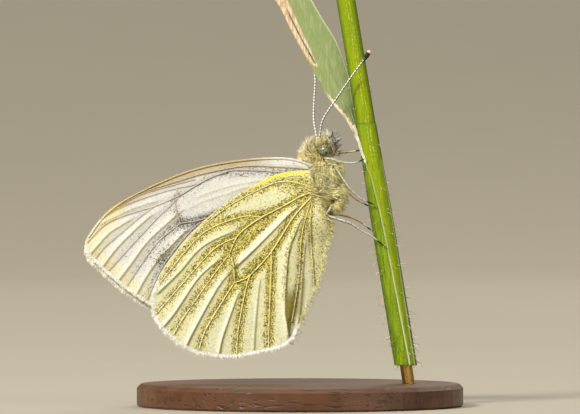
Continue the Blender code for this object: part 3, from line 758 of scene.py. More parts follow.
WINGS = {
    "forewing": (FOREWING_OUTLINE, forewing_height, FOREWING_VEINS, FOREWING_FOLDS),
    "hindwing": (HINDWING_OUTLINE, hindwing_height, HINDWING_VEINS, HINDWING_FOLDS),
}
# A wing's markings: dust, lemon and tan are its own colours and crest its veins' colour; shade, rim
# and groove are painted shade, and light is a painted highlight, except on a hindwing's outer
# veins, where it is their paler colour.
MARKS = ("dust", "shade", "light", "lemon", "tan", "rim", "crest", "groove")
HINDWING_FRONT = ((-0.4, 1.35), (-2.4, 1.2), (-4.6, 0.5), (-8.5, -1.7), (-12.2, -5.1),
                  (-15.1, -9.0))
# Grey smudges of dark scales on a forewing: centre, half sizes, lean and strength.
SMUDGES = (
    ((-6.9, 1.15), (2.9, 0.35), 0.05, 0.5), ((-11.4, -3.2), (2.2, 0.4), 0.3, 0.5),
    ((-14.4, -7.0), (1.4, 0.8), 0.9, 0.8), ((-14.9, -6.9), (1.1, 0.2), 0.9, 0.9),
    ((-1.2, 0.4), (1.6, 0.8), 0.1, 0.4), ((-9.0, -3.4), (1.6, 0.3), 0.6, 0.35),
)


def patch_of(points, centre, half, lean=0.0):
    """Soft oval patch: 1 at its centre, falling to nothing round its edge."""
    offset = points - centre
    c, s = math.cos(lean), math.sin(lean)
    along = (offset[:, 0] * c + offset[:, 1] * s) / half[0]
    across = (offset[:, 1] * c - offset[:, 0] * s) / half[1]
    return np.exp(-(along ** 2 + across ** 2))


def strengthen(marks, **more):
    """Make each named marking at least as strong as what is given for it."""
    for key, values in more.items():
        marks[key] = np.maximum(marks[key], values)


def draw_veins(marks, points, veins, dust_width):
    """Each vein: a trough, its colour on the crest, a painted shade line beside it, dark scales to
    its sides.
    """
    clear = np.ones(len(points))
    for name, (_base, _tip, dust_base, dust_tip, route) in veins.items():
        gap, place, side = nearest_curve(points, route)
        strength = dust_base + (dust_tip - dust_base) * place
        wide = dust_width * (0.62 if name.startswith("anal") else 1.0)
        clear *= 1 - np.clip(strength, 0, 1) * np.exp(-(gap / wide) ** 4)
        marks["relief"] -= 0.05 * bump(gap, 0.3)
        # Its colour along the crest, and beside it a painted shade line, strongest on its lower
        # right side.
        if name != "costa":
            strengthen(marks, crest=bump(gap, 0.07), rim=bump(gap - 0.12, 0.06)
                       * np.where(side > 0, 0.3 + 0.5 * place, 0.1))
    marks["dust"] = 1 - clear


def draw_folds(marks, points, folds, groove_share):
    """Each fold: a wide slope with a painted highlight, and a painted shade line and shade under
    its steep side.
    """
    for name, (height, route) in folds.items():
        gap, place, side = nearest_curve(points, route)
        strength = height * step(0.0, 0.15, place) * step(1.06, 0.93, place)
        bright = side < 0
        marks["relief"] += 0.8 * strength * np.exp(-gap / np.where(bright, 0.5, 0.15))
        strong = np.clip(strength / 0.15, 0, 1.0)
        pale = strong * (0.45 if name == "cubitus_anal" else 1.0) * step(0.0, 0.4, place)
        slope = np.where(bright, np.exp(-(gap / (0.1 + 1.35 * strength)) ** 1.5), bump(gap, 0.04))
        line = bump(gap - 0.11 - 0.05 * place, 0.05 + 0.07 * place) * groove_share
        # light is the painted highlight on the wide slope; groove and shade are painted shade under
        # the steep side.
        strengthen(marks, light=pale * slope, groove=step(0.02, 0.09, strength) * ~bright * line,
                   shade=0.35 * strong * ~bright * np.exp(-gap / 0.35))


def draw_hindwing(marks, points):
    """The lemon front edge, dust at the base and in the cell, and the inner margin."""
    x, z = points.T
    front = nearest_curve(points, HINDWING_FRONT)[0]
    marks["lemon"] = (bump(front, 0.16 + 0.1 * step(-6.5, -4.5, x)) * step(-0.1, -0.9, x)
                      * (1 - 0.7 * step(-4.5, -7.5, x)) * step(-8.6, -7.5, z))
    strengthen(marks, dust=0.62 * patch_of(points, (-0.6, -0.8), (1.7, 1.2)))
    strengthen(marks, dust=0.85 * patch_of(points, (-5.6, -2.75), (1.9, 0.42), 0.22))
    strengthen(marks, dust=patch_of(points, (-1.5, 0.2), (1.8, 0.75), 0.1))
    # In the cell the dark scales reach from both veins almost to the fold.
    gap, place, side = nearest_curve(points, HINDWING_FOLDS["cell"][-1])
    within = step(0.45, 0.75, gap) * step(0.999, 0.95, place) * step(0.0, 0.05, place)
    for name, strength, way in (("radius", 0.9, -1), ("cubitus", 0.75, 1)):
        vein_side = nearest_curve(points, HINDWING_VEINS[name][-1])[2]
        strengthen(marks, dust=strength * within * (side == way) * (vein_side == -way))
    marks["dust"] *= 1 - 0.4 * patch_of(points, (-1.5, -2.5), (1.3, 0.8), 0.6)
    strengthen(marks, dust=0.75 * bump(front - 0.5, 0.3) * step(-3.0, -5.0, x)
               * step(-9.6, -8.4, z))
    marks["dust"] *= 1 - marks["lemon"]
    # The inner margin: rows of dark scales in pale down, and at its foot olive hollows painted in
    # shade, beside a painted highlight on its fold.
    gap, _place, side = nearest_curve(points, HINDWING_FOLDS["cubitus_anal"][-1])
    vein_gap, _place, vein_side = nearest_curve(points, HINDWING_VEINS["anal_2"][-1])
    strengthen(marks, dust=0.6 * bump(gap - 0.1, 0.2) * step(-11.8, -10.5, z)
               * step(-2.8, -4.5, z))
    inner = step(-1.2, 0.2, x + 0.12 * (z + 4.0)) * step(-2.0, -3.5, z)
    strengthen(marks, dust=0.22 * inner)
    # Painted shade in the hollows, and a painted highlight on the fold beside them.
    hollow_shade = (side > 0) * (vein_side < 0) * step(1.5, 0.9, gap) * step(-9.2, -11.4, z)
    hollow_shade = np.maximum(hollow_shade, 0.85 * (vein_side > 0) * step(0.95, 0.5, vein_gap)
                        * step(-8.4, -9.8, z) * step(-13.4, -12.2, z))
    strengthen(marks, shade=hollow_shade, groove=0.6 * hollow_shade * step(-9.6, -12.0, z),
               light=0.5 * (vein_side > 0) * bump(vein_gap - 1.1, 0.14) * step(-7.4, -9.0, z))


def draw_forewing(marks, points):
    """The lemon tip, the tan front edge and the grey smudges."""
    x, z = points.T
    border = nearest(points, np.array(FOREWING_OUTLINE[5:12]))[0]
    marks["lemon"] = ((0.16 + 0.16 * step(-13.0, -18.0, x)) * step(2.4, 0.7, border)
                      * (1 - marks["light"]))
    strengthen(marks, lemon=0.15 * step(-18.6, -21.0, x) * step(-8.0, -5.0, z))
    front = nearest_curve(points, FOREWING_VEINS["costa"][-1])[0]
    marks["tan"] = bump(front, 0.6) * step(-2.6, -7.0, x) * step(-21.5, -18.5, x)
    for centre, half, lean, strength in SMUDGES:
        smudge = strength * patch_of(points, centre, half, lean)
        strengthen(marks, dust=smudge)
        marks["light"] *= 1 - 0.8 * smudge


def wing_marks(kind, points, sizes):
    """Relief in millimetres and the markings, with their painted light and shade, at points
    measured from WING_ROOT.
    """
    _outline, _height, veins, folds = WINGS[kind]
    hind = kind == "hindwing"
    marks = {key: np.zeros(len(points)) for key in ("relief", *MARKS)}
    draw_veins(marks, points, veins, sizes.dust_width / MM)
    draw_folds(marks, points, folds, 1.0 if hind else 0.7)
    (draw_hindwing if hind else draw_forewing)(marks, points)
    # The wing's root is flat, where it joins the thorax.
    flatten = step(0.6, 2.6, np.hypot(*points.T))
    return marks.pop("relief") * flatten * sizes.fold_height, marks


LOWER_RIGHT = (0.72, 0.0, -0.7)      # the side of a ridge that lies in shade
VEIN_SHARE = {"dust": 0.25, "lemon": 1.0, "tan": 1.0}    # of the membrane's markings


def margin_share(kind, points):
    """1 on the fringed outer margin of a wing, and 0 along its other edges."""
    x, z = points.T
    if kind == "hindwing":
        return np.maximum(step(-14.2, -15.0, x) * step(-8.8, -9.8, z), step(-13.2, -14.4, z))
    front = nearest_curve(points, FOREWING_VEINS["costa"][-1])[0]
    return step(-12.5, -14.0, x) * step(0.3, 1.3, front)


def wing_outline(kind):
    """The smoothed outline, points a step apart, with their outward directions."""
    corners = np.array(WINGS[kind][0])
    edge = even_route(smooth_route(np.vstack([corners, corners[:1]])), 0.1)[:-1]
    run = unit(np.roll(edge, -1, axis=0) - np.roll(edge, 1, axis=0))
    outward = np.column_stack([run[:, 1], -run[:, 0]])
    area = (edge[:, 0] * np.roll(edge[:, 1], -1) - edge[:, 1] * np.roll(edge[:, 0], -1)).sum()
    return edge, outward * (1 if area > 0 else -1)


def on_wing(kind, points, sign, shift, sizes, lift=0.0):
    """Points of the wing's outer face in the frame, with their markings."""
    relief, marks = wing_marks(kind, points, sizes)
    placed = points + WING_ROOT + shift
    height = WINGS[kind][1](placed[:, 0], placed[:, 1]) + relief + lift
    return np.column_stack([placed[:, 0], sign * height, placed[:, 1]]), marks


def wing_unwrap(points):
    """The wing laid flat, in a square one unit wide."""
    return np.column_stack([(points + (23.0, 18.0)) / 26.0, np.zeros(len(points))])


ROW_STEP = 0.87                # between rows of even triangles, against their sides
RIM_GAP = 0.55                 # nearest that a point comes to the rim, against the spacing


def wing_grid(edge, rim, spacing):
    """Flat points and faces of a membrane: its rim, and a grid of points within it."""
    low, high = edge.min(0), edge.max(0)
    rows = np.arange(low[1], high[1], spacing * ROW_STEP)
    grid = np.array([(x + (i % 2) * spacing / 2, z) for i, z in enumerate(rows)
                     for x in np.arange(low[0], high[0], spacing)])
    grid = grid[inside(grid, rim)]
    grid = grid[nearest(grid, np.vstack([rim, rim[:1]]))[0] > RIM_GAP * spacing]
    corners = [Vector(point) for point in np.vstack([rim, grid])]
    made = delaunay_2d_cdt(corners, [], [list(range(len(rim)))], 1, 1e-5)
    return np.array([tuple(point) for point in made[0]]), made[2]


def wing_veins(kind, on_face):
    """One tube for each vein, which shares the membrane's markings in part."""
    parts = []
    for vein, (base, tip, _dust_base, _dust_tip, corners) in WINGS[kind][2].items():
        path, marks = on_face(even_route(smooth_route(corners), 0.16))
        points, faces, _along, _around = tube(path, np.linspace(base, tip, len(path)))
        ring = np.append(np.repeat(np.arange(len(path)), TUBE_SIDES), (0, len(path) - 1))
        thin = {key: values[ring] * VEIN_SHARE.get(key, 0.0) for key, values in marks.items()}
        outer = step(12.5, 15.5, np.hypot(*(path[:, [0, 2]] - WING_ROOT).T))[ring]
        # Along the vein its own colour, paler on a hindwing's outer veins; the tube's half towards
        # the lower right is painted in shade.
        thin["crest"] = (0.3 if vein == "costa" else 1.0) * (1.0 - 0.75 * outer)
        thin["light"] = 0.7 * outer * (kind == "hindwing")
        thin["rim"] = step(0.25, 0.6, unit(points - path[ring] + 1e-6) @ LOWER_RIGHT)
        parts.append((points, faces, thin))
    return join(parts)


def fringe_source(kind, on_face, sign, rim, outward, share, length):
    """A narrow strip along the outer margin that the fringe grows on."""
    root = rim - outward * FRINGE_ROOT
    ring = len(rim)
    keep = share > 0.02
    strip = [(i, k, k + ring, i + ring) for i, k in zip(range(ring), (*range(1, ring), 0))
             if keep[i] and keep[k]]
    away = np.column_stack([outward[:, 0], 0 * share, outward[:, 1]])
    both = np.concatenate([share, share])
    turn = np.arange(2 * ring) % ring
    tufts = (0.85 + 0.09 * np.sin(turn * 1.9) + 0.08 * np.sin(turn * 0.83 + 1)
             + 0.06 * np.sin(turn * 0.31))
    points = np.vstack([on_face(rim, -0.03)[0], on_face(root, 0.02)[0]])
    return new_object("margin", points, strip, {
        "lie": np.vstack([away, away]) + (0, sign * 0.05, 0), "cover": both,
        "root_uv": wing_unwrap(np.vstack([rim, root])),
        "reach": both * tufts * length * FRINGE[kind] / FRINGE["hindwing"],
        "girth": 0.06 * MM})


def make_wing(kind, side, sign, shift, sizes, materials, shapes):
    """A wing's membrane, its veins, its dark scales and its fringe."""
    name = f"{kind}_{side}"
    slot = "wing_white" if kind == "forewing" else "wing_lemon"
    edge, outward = wing_outline(kind)
    share = margin_share(kind, edge)
    rim = edge - outward * (FRINGE[kind] * share)[:, None]

    def on_face(flat, lift=0.0):
        return on_wing(kind, flat, sign, shift, sizes, lift)

    flat, faces = wing_grid(edge, rim, sizes.wing_mesh / MM)
    points, marks = on_face(flat)
    first, second, third = points[list(faces[0][:3])]
    if np.cross(second - first, third - first)[1] * sign < 0:
        faces = [face[::-1] for face in faces]
    membrane = new_object(name + "_scales", points, faces, marks)
    dress(thicken(membrane, sizes.wing_thickness, -1.0), materials[kind], slot, name)
    veins = new_object(name + "_veins", *wing_veins(kind, on_face))
    dress(veins, materials[kind], slot)

    base_to_tip = unit(np.column_stack([flat[:, 0], 0 * flat[:, 0], flat[:, 1]]) + 1e-6)
    source = new_object("scale_source", points, faces, {
        **marks, "root_uv": wing_unwrap(flat), "lie": base_to_tip + (0, sign * 0.12, 0),
        "reach": 0.13 * MM, "girth": 0.09 * MM,
        "cover": np.clip(marks["dust"], 0, 1) * step(0.1, 0.4, marks["dust"])})
    plant(name + "_dark_scales", source, shapes["scale"], materials["dust"], "feeler",
          density=sizes.dust_density, spacing=0.074, disorder=0.45, seed=sizes.seed + (sign > 0))
    source = fringe_source(kind, on_face, sign, rim, outward, share, sizes.fringe)
    plant(name + "_fringe", source, shapes["scale"], materials["fringe"], "wing_white",
          density=1400.0, spacing=0.018, disorder=0.36, seed=sizes.seed + 2 + (sign > 0))


# Body ---------------------------------------------------------------------------------------
SKIN_BLOBS = (                 # centre, half sizes and lean of the forms under the coat
    ((2.35, 0.0, 21.4), (1.75, 1.25, 2.85), 0.0),
    ((1.35, 0.0, 24.2), (1.0, 0.9, 1.45), 0.35),
    ((2.3, 0.0, 25.3), (0.72, 0.74, 0.95), 0.1),
    ((3.35, 0.5, 20.3), (0.95, 0.8, 1.25), 0.25),
    ((3.0, 0.5, 22.8), (0.9, 0.95, 1.15), 0.35),
    ((1.75, 0.8, 22.3), (0.95, 0.95, 1.55), 0.1),
    ((2.1, 0.7, 20.4), (0.8, 0.85, 1.1), 0.1),
)


def abdomen_route():
    """Midline and radius of the abdomen's skin, from the thorax to its blunt tip."""
    t = np.linspace(0, 1, 16)
    swell = 0.72 + 0.28 * np.sin(np.pi * np.minimum(t * 1.5, 1.0) * 0.5)
    taper = np.sqrt(np.maximum(1.0 - np.maximum((t - 0.45) / 0.56, 0.0) ** 2, 0.03))
    x = ABDOMEN_TOP[0] + (ABDOMEN_TIP[0] - ABDOMEN_TOP[0]) * t + 0.35 * np.sin(np.pi * t)
    z = ABDOMEN_TOP[1] + (ABDOMEN_TIP[1] - ABDOMEN_TOP[1]) * t
    return np.column_stack([x, 0 * t, z]), 0.78 * swell * taper


def ripple(points, size):
    """Smooth wandering numbers over the coat, for its waves and clumps."""
    x, y, z = (points / size).T
    return np.column_stack([np.sin(2.1 * z + 1.3 * y + 1.7 * np.sin(1.9 * x)),
                            np.sin(1.7 * x + 2.3 * z + 0.6),
                            np.sin(2.6 * x + 1.1 * y + 1.4 * np.sin(1.3 * z))])


def coat_fields(points, normals):
    """Direction, length and colours of the coat at points of the skin."""
    flat = points[:, [0, 2]]
    spots, ways, lengths = (np.array(column) for column in zip(*COAT_GUIDES))
    pull = 1.0 / (np.linalg.norm(flat[:, None] - spots, axis=2) ** 2 + 0.12) ** 1.6
    pull /= pull.sum(1, keepdims=True)
    way = unit(pull @ ways)
    reach = pull @ lengths
    x, z = flat.T
    collar = spot(flat, (0.5, 25.3), 1.25)
    crown = spot(flat, (2.6, 26.1), 0.8)
    lie = np.column_stack([way[:, 0], 0 * reach, way[:, 1]]) + 0.28 * ripple(points, 0.42)
    lie -= normals * np.sum(lie * normals, axis=1)[:, None]
    breast = 0.7 * step(3.0, 4.0, x) * step(24.2, 23.2, z)
    lie = unit(lie) + normals * (0.32 + 0.5 * np.maximum.reduce([collar, crown, breast]))[:, None]
    groove = bump(nearest(flat, np.array(CHEEK_LINE))[0], 0.17)
    notch = spot(flat, (1.45, 25.75), 0.3)
    hip = patch_of(flat, np.array(HIP_PIT) - (0.36, -0.1), (0.7, 0.36))
    reach = reach * (1 - 0.8 * np.maximum.reduce([groove, notch, hip]))
    grey = np.maximum.reduce([0.9 * spot(flat, (2.5, 22.2), 0.75),
                              0.7 * spot(flat, (1.2, 23.0), 0.55),
                              0.7 * spot(flat, (2.2, 21.35), 0.22, stretch=1.6)])
    gold = np.maximum(spot(flat, (3.0, 20.8), 0.62, stretch=1.9),
                      0.7 * spot(flat, (3.1, 23.3), 0.55))
    # Darker: the pit above the hip, painted in shade, the cheek's groove, and patches by the wing
    # bases and on the head.
    dark = np.maximum.reduce([spot(flat, HIP_PIT, 0.36), groove,
                              0.75 * spot(flat, (1.45, 23.2), 0.2, stretch=1.5),
                              0.45 * spot(flat, (1.35, 20.75), 0.35),
                              0.22 * step(24.0, 24.8, z)])
    return lie, reach, {"tan": collar, "grey": grey, "gold": gold, "dark": dark}


def body_unwrap(points):
    """The skin slit down its back and rolled out flat."""
    around = np.arctan2(points[:, 1], points[:, 0] - 1.6) / (2 * np.pi) + 0.5
    height = (points[:, 2] - 8.0) / 20.0
    return np.column_stack([around, height, 0 * height])


def body_skin(voxel):
    """The forms under the coat, melted into one soft skin."""
    parts = []
    for (x, y, z), half, lean in SKIN_BLOBS:
        for sign in (RIGHT, LEFT) if y else (1,):
            parts.append((*ellipsoid((x, sign * y, z), half, lean=lean), {}))
    points, faces, _along, _around = tube(*abdomen_route(), sides=20)
    parts.append((points, faces, {}))
    points, faces, _none = join(parts)
    rough = new_object("body_rough", points, faces)
    remesh = rough.modifiers.new("one_skin", "REMESH")
    remesh.mode = "VOXEL"
    remesh.voxel_size = voxel
    soften = rough.modifiers.new("soften", "SMOOTH")
    soften.factor = 0.5
    soften.iterations = 6
    skin = settle(rough, "body_skin")
    skin.data.shade_smooth()
    return skin


def read_vertices(mesh, field):
    """A mesh's vertex positions or normals."""
    values = np.empty(len(mesh.vertices) * 3)
    mesh.vertices.foreach_get(field, values)
    return values.reshape(-1, 3)


def hip_gap(points):
    """How far points lie from the pit above the hind leg's hip, seen from the side."""
    return np.hypot(*(points[:, [0, 2]] - HIP_PIT).T)


def make_body(sizes, materials, shapes):
    """One skin under head, thorax and abdomen, and the coat that grows on it."""
    skin = body_skin(sizes.skin_mesh)
    mesh = skin.data
    points = read_vertices(mesh, "co") / MM
    normals = read_vertices(mesh, "normal")
    lie, reach, marks = coat_fields(points, normals)
    points -= normals * (0.45 * bump(hip_gap(points), 0.33))[:, None]
    mesh.vertices.foreach_set("co", (points * MM).ravel())
    eye_gap = np.minimum.reduce([np.linalg.norm((points - eye_centre(sign)) / EYE_HALF, axis=1)
                                 for _side, sign in SIDES])
    bare = step(0.95, 1.1, eye_gap) * step(0.2, 0.4, hip_gap(points))
    bare_dark = np.maximum(marks["dark"], 0.8 * step(1.5, 1.15, eye_gap))
    for key, values in {**marks, "dark": bare_dark}.items():
        mesh.attributes.new(key, "FLOAT", "POINT").data.foreach_set("value", values)
    faces = [tuple(face.vertices) for face in mesh.polygons]
    dress(skin, materials["skin"], "body_fur", "head", "thorax", "abdomen")
    x, _y, z = points.T
    head = step(24.3, 24.9, z) * step(1.4, 1.9, x)
    abdomen = step(18.6, 18.0, z)
    for name, share, density, disorder in (
            ("head_coat", head, 1.3, 0.34), ("abdomen_coat", abdomen, 0.45, 0.24),
            ("thorax_coat", 1 - np.maximum(head, abdomen), 1.0, 0.28)):
        source = new_object("coat_source", points, faces, {
            **marks, "root_uv": body_unwrap(points), "lie": lie,
            "reach": reach * MM * sizes.coat_length * (0.4 + 0.6 * bare),
            "girth": sizes.coat_girth * (1 - 0.35 * head), "cover": bare * share})
        plant(name, source, shapes["hair"], materials["coat"], "body_fur",
              density=sizes.coat_density * density, spacing=0.04, disorder=disorder,
              seed=sizes.seed + 10)


def root_hair(kind, side, sign, sizes, materials, shapes):
    """Hair that grows on a wing's base and hides where it joins the thorax, and the long pale
    fuzz along a hindwing's inner margin."""
    x, z = np.meshgrid(np.arange(-5.0, 2.4, 0.15), np.arange(-16.5, 3.0, 0.15))
    faces = grid_faces(*x.shape)
    flat = np.column_stack([x.ravel(), z.ravel()])
    x, z = flat.T
    edge, _outward = wing_outline(kind)
    edge = np.vstack([edge, edge[:1]])
    within = inside(flat, edge)
    rim = nearest(flat, edge)[0]
    points, _marks = on_wing(kind, flat, sign, 0.0, sizes)
    lie, reach, marks = coat_fields(points, np.tile((0.0, sign, 0.0), (len(flat), 1)))
    if kind == "hindwing":
        edge_hair = step(0.65, 0.3, rim) * step(-0.9, -0.2, x)
        base = np.maximum(edge_hair, spot(flat, (0.5, -0.6), 0.85)) * step(-4.6, -3.9, z)
        margin = step(0.5, 0.1, rim) * step(-3.4, -4.2, z) * step(-2.6, -1.8, x)
        reach = reach * (0.7 + 0.3 * step(0.6, 0.2, rim))
    else:
        base = step(-0.7, -0.2, x) * step(0.4, 0.9, z)
        margin = 0 * x
    share = step(0.0, 1.0, margin)[:, None]
    marks["grey"] = np.maximum(marks["grey"], 0.85 * margin)
    source = new_object("hair_source", points, [f for f in faces if within[list(f)].all()], {
        **marks, "root_uv": wing_unwrap(flat),
        "lie": lie * (1 - share) + np.array((0.8, 0.2 * sign, -0.55)) * share,
        "reach": (reach * (1 - margin) + 0.7 * margin) * MM,
        "girth": (0.075 - 0.035 * margin) * MM, "cover": np.maximum(base, margin)})
    plant(f"{kind}_{side}_base_hair", source, shapes["hair"], materials["coat"], "body_fur",
          density=110.0, spacing=0.04, disorder=0.3, seed=sizes.seed + 30)


# Head ---------------------------------------------------------------------------------------
EYE_SPOTS = (                  # X and Z from the middle of the eye, and radius
    (-0.32, 0.26, 0.075), (-0.08, 0.36, 0.07), (0.2, 0.28, 0.075), (-0.36, -0.04, 0.07),
    (-0.1, 0.04, 0.08), (0.16, -0.24, 0.13), (0.3, 0.02, 0.06),
)


def eye_centre(sign):
    """Middle of the eye on one side."""
    x, y, z = EYE_CENTRE
    return np.array((x, sign * y, z))


def make_eye(side, sign, materials):
    """An eye with its dark spots, darker below and paler towards its upper back."""
    points, faces = ellipsoid(eye_centre(sign), EYE_HALF, segments=56, rings=40)
    x, _y, z = (points - eye_centre(sign)).T
    eye = new_object(f"eye_{side}_facets", points, faces, {
        "spot": np.maximum.reduce([
            step(radius * 1.25, radius * 0.7, np.hypot(x - spot_x, z - spot_z))
            for spot_x, spot_z, radius in EYE_SPOTS]),
        "low": step(-0.1, -0.55, z), "chalk": step(0.0, 0.4, 0.6 * z - 0.8 * x)})
    dress(eye, materials["eye"], "eye_green", f"eye_{side}")


def make_palp(side, sign, sizes, materials, shapes):
    """A palp with its black bristles and white scales."""
    route = smooth_route(PALP_ROUTE, per_span=6) * (1, sign, 1)
    t = np.linspace(0, 1, len(route))
    radii = 0.07 + 0.2 * np.sin(np.pi * np.clip(t * 0.85 + 0.12, 0, 1)) ** 0.8
    points, faces, along, around = tube(route, radii, sides=12)
    palp = new_object(f"palp_{side}_core", points, faces, {"dark": 0.8})
    dress(palp, materials["skin"], "body_fur", f"palp_{side}")
    place, ring, out = off_middle(points, along, route)
    up = unit(np.gradient(route, axis=0))[ring]
    unwrap = np.column_stack([around / (2 * np.pi), place, 0 * place])
    spray = out + up * (0.35 + 0.5 * place)[:, None] + (0.15, 0.0, 0.0)
    source = new_object("bristle_source", points, faces, {
        "lie": spray, "reach": (0.7 + 0.32 * place) * MM, "girth": 0.052 * MM,
        "cover": np.clip(0.85 + 0.3 * out[:, 0] - 0.3 * place, 0.4, 1.0), "root_uv": unwrap})
    plant(f"palp_{side}_bristles", source, shapes["hair"], materials["bristle"], "feeler",
          density=65.0, spacing=0.06, disorder=0.3, seed=sizes.seed + 20 + sign)
    streak = step(0.1, -0.5, out[:, 0]) * step(0.25, 0.4, place)
    source = new_object("scale_source", points, faces, {
        "lie": spray * (1 - 0.8 * streak)[:, None] + up * streak[:, None],
        "reach": (0.68 + 0.3 * place) * MM, "girth": (0.055 + 0.025 * streak) * MM,
        "cover": 0.5 + 0.3 * streak, "root_uv": unwrap})
    plant(f"palp_{side}_scales", source, shapes["hair"], materials["white_scale"],
          "wing_white", density=90.0, spacing=0.045, disorder=0.3, seed=sizes.seed + 24 + sign)


def make_feeler(side, sizes, materials):
    """A feeler: ringed joints that swell into a flat-tipped club."""
    name = f"antenna_{side}"
    spacing = sizes.feeler_ring / MM / 6
    route = even_route(smooth_route(ANTENNAE[name], per_span=12), spacing)
    travelled = np.arange(len(route)) * sizes.feeler_ring / MM / 6
    left = travelled[-1] - travelled
    club = step(1.55, 0.55, left) * np.sqrt(np.clip(left / 0.16, 0.0, 1.0))
    joint = 0.5 + 0.5 * np.cos(travelled * 2 * np.pi * MM / sizes.feeler_ring)
    radii = 0.08 + 0.012 * joint + 0.15 * club
    radii[-1] = 0.1
    points, faces, along, _around = tube(route, radii, sides=14)
    _place, _ring, out = off_middle(points, along, route)
    feeler = new_object(name + "_joints", points, faces, {
        "along": along, "left": travelled[-1] - along, "under": out @ (0.8, 0.0, -0.6)})
    dress(feeler, materials["feeler"], "feeler", name)


def make_tongue(materials):
    """The tongue, coiled up between the palps."""
    t = np.linspace(0, 1, 90)
    angle = t * TONGUE_TURNS * 2 * np.pi
    radius = 0.27 - 0.19 * t
    x, y, z = PROBOSCIS_CENTRE
    route = np.column_stack([x + radius * np.cos(angle), y + 0 * t, z + radius * np.sin(angle)])
    points, faces, along, _around = tube(route, 0.035 - 0.012 * t)
    tongue = new_object("proboscis_coil", points, faces, {"along": along})
    dress(tongue, materials["tongue"], "feeler", "proboscis")


# Legs ---------------------------------------------------------------------------------------
LEG_UNDER = (-0.5, 0.0, -0.85)         # the underside of a leg, bare of scales and painted dark as shade
LEG_SPAN = 10                          # points of a leg's curve from corner to corner
LEG_SPACING = 0.06


def make_leg(name, knee, corners, sizes, materials, shapes):
    """A leg from hip to foot, and the pale scales on it.  Its foot's route comes back."""
    raw = smooth_route(corners, LEG_SPAN)
    hip = even_route(raw[:knee * LEG_SPAN + 1], LEG_SPACING)
    shin = even_route(raw[knee * LEG_SPAN:], LEG_SPACING)
    t_hip = np.linspace(0, 1, len(hip))
    t = np.linspace(0, 1, len(shin))
    # The far legs take the copy of the colours that is painted amber and brighter, as if lit
    # through.
    look = "near" if name.endswith("right") else "far"
    thick = 0.135 if "hind" in name or name == "foreleg_right" else 0.1
    hip_radii = 0.75 * thick * (0.75 + 0.35 * np.sin(np.pi * t_hip))
    rings = 0.01 * np.cos(t * 60) * step(0.45, 0.55, t)
    shin_radii = (0.088 + (thick - 0.085) * np.sin(np.pi * np.clip(t / 0.48, 0, 1)) ** 0.7
                  - 0.015 * t + rings)
    parts = []
    for route, radii, start in ((hip, hip_radii, -1), (shin, shin_radii, 0)):
        points, faces, along, _around = tube(route, radii, sides=10)
        place, _ring, out = off_middle(points, along, route)
        place = place + start
        parts.append((points, faces, {"place": place, "under": out @ LEG_UNDER,
                                      "knee": step(0.05, 0.02, np.abs(place))}))
    leg = new_object(name + "_joints", *join(parts))
    dress(leg, materials[look + "_leg"], "limb", name)
    points, faces, along, around = tube(shin, shin_radii * 0.98)
    place, ring, out = off_middle(points, along, shin)
    run = unit(np.gradient(shin, axis=0))[ring]
    source = new_object("scale_source", points, faces, {
        "lie": run + out * 0.35, "reach": (0.17 - 0.06 * place) * MM,
        "girth": (0.045 - 0.015 * place) * MM, "place": place,
        "cover": step(0.95, 0.8, place) * step(0.6, 0.2, out @ LEG_UNDER),
        "root_uv": np.column_stack([around / (2 * np.pi), place, 0 * place])})
    plant(name + "_scales", source, shapes["scale"], materials[look + "_scale"], "limb",
          density=70.0, spacing=0.07, disorder=0.15, seed=sizes.seed + 40)
    return shin


def claw_pair(foot):
    """Two small hooks at the end of a leg."""
    end = foot[-1]
    ahead = unit(end - foot[-3])
    for turn in (-1, 1):
        curve = np.array([end, end + ahead * 0.12 + (0, 0.06 * turn, 0),
                          end + ahead * 0.2 + (0, 0.09 * turn, -0.04),
                          end + ahead * 0.22 + (0, 0.1 * turn, -0.11)])
        route = smooth_route(curve, per_span=3)
        radii = np.linspace(0.035, 0.008, len(route))
        points, faces, _along, _around = tube(route, radii, sides=6)
        yield points, faces, {}


def make_legs(sizes, materials, shapes):
    """Six legs with their scales and claws."""
    claws = []
    for name, (knee, corners) in LEGS.items():
        claws += claw_pair(make_leg(name, knee, corners, sizes, materials, shapes))
    points, faces, _none = join(claws)
    dress(new_object("claws", points, faces), materials["claw"], "feeler")


# Grass --------------------------------------------------------------------------------------
# X and Z down the middle of the sheath's torn edge.
SHEATH_EDGE = ((5.2, 27.5), (5.45, 26.8), (5.75, 25.9), (6.0, 25.1), (6.2, 24.4), (6.5, 23.6))
SHEATH_LINE = (                # height, and place of the sheath's pale overlap across the stem
    (28.6, -0.98), (26.0, -0.9), (23.4, -0.65), (22.4, -0.37), (19.2, -0.1), (16.3, 0.04),
    (10.0, 0.2), (4.0, 0.33),
)


STEM_SIDES = 96


def stem_axis(height):
    """X of the stem's midline at a height."""
    t = (height - STEM_FOOT[1]) / (STEM_HEAD[1] - STEM_FOOT[1])
    return STEM_FOOT[0] + (STEM_HEAD[0] - STEM_FOOT[0]) * t


def stem_radius(height):
    """The bare culm above the collar, and the sheath that widens downwards below it."""
    sheath = 0.98 + 0.12 * step(COLLAR_HEIGHT, 17.0, height)
    return 0.92 + (sheath - 0.92) * step(COLLAR_HEIGHT + 0.3, COLLAR_HEIGHT - 0.3, height)


def with_ends(values):
    """The values at a tube's rings, and 0 at the middles of its two ends."""
    return np.append(values, (0, 0))


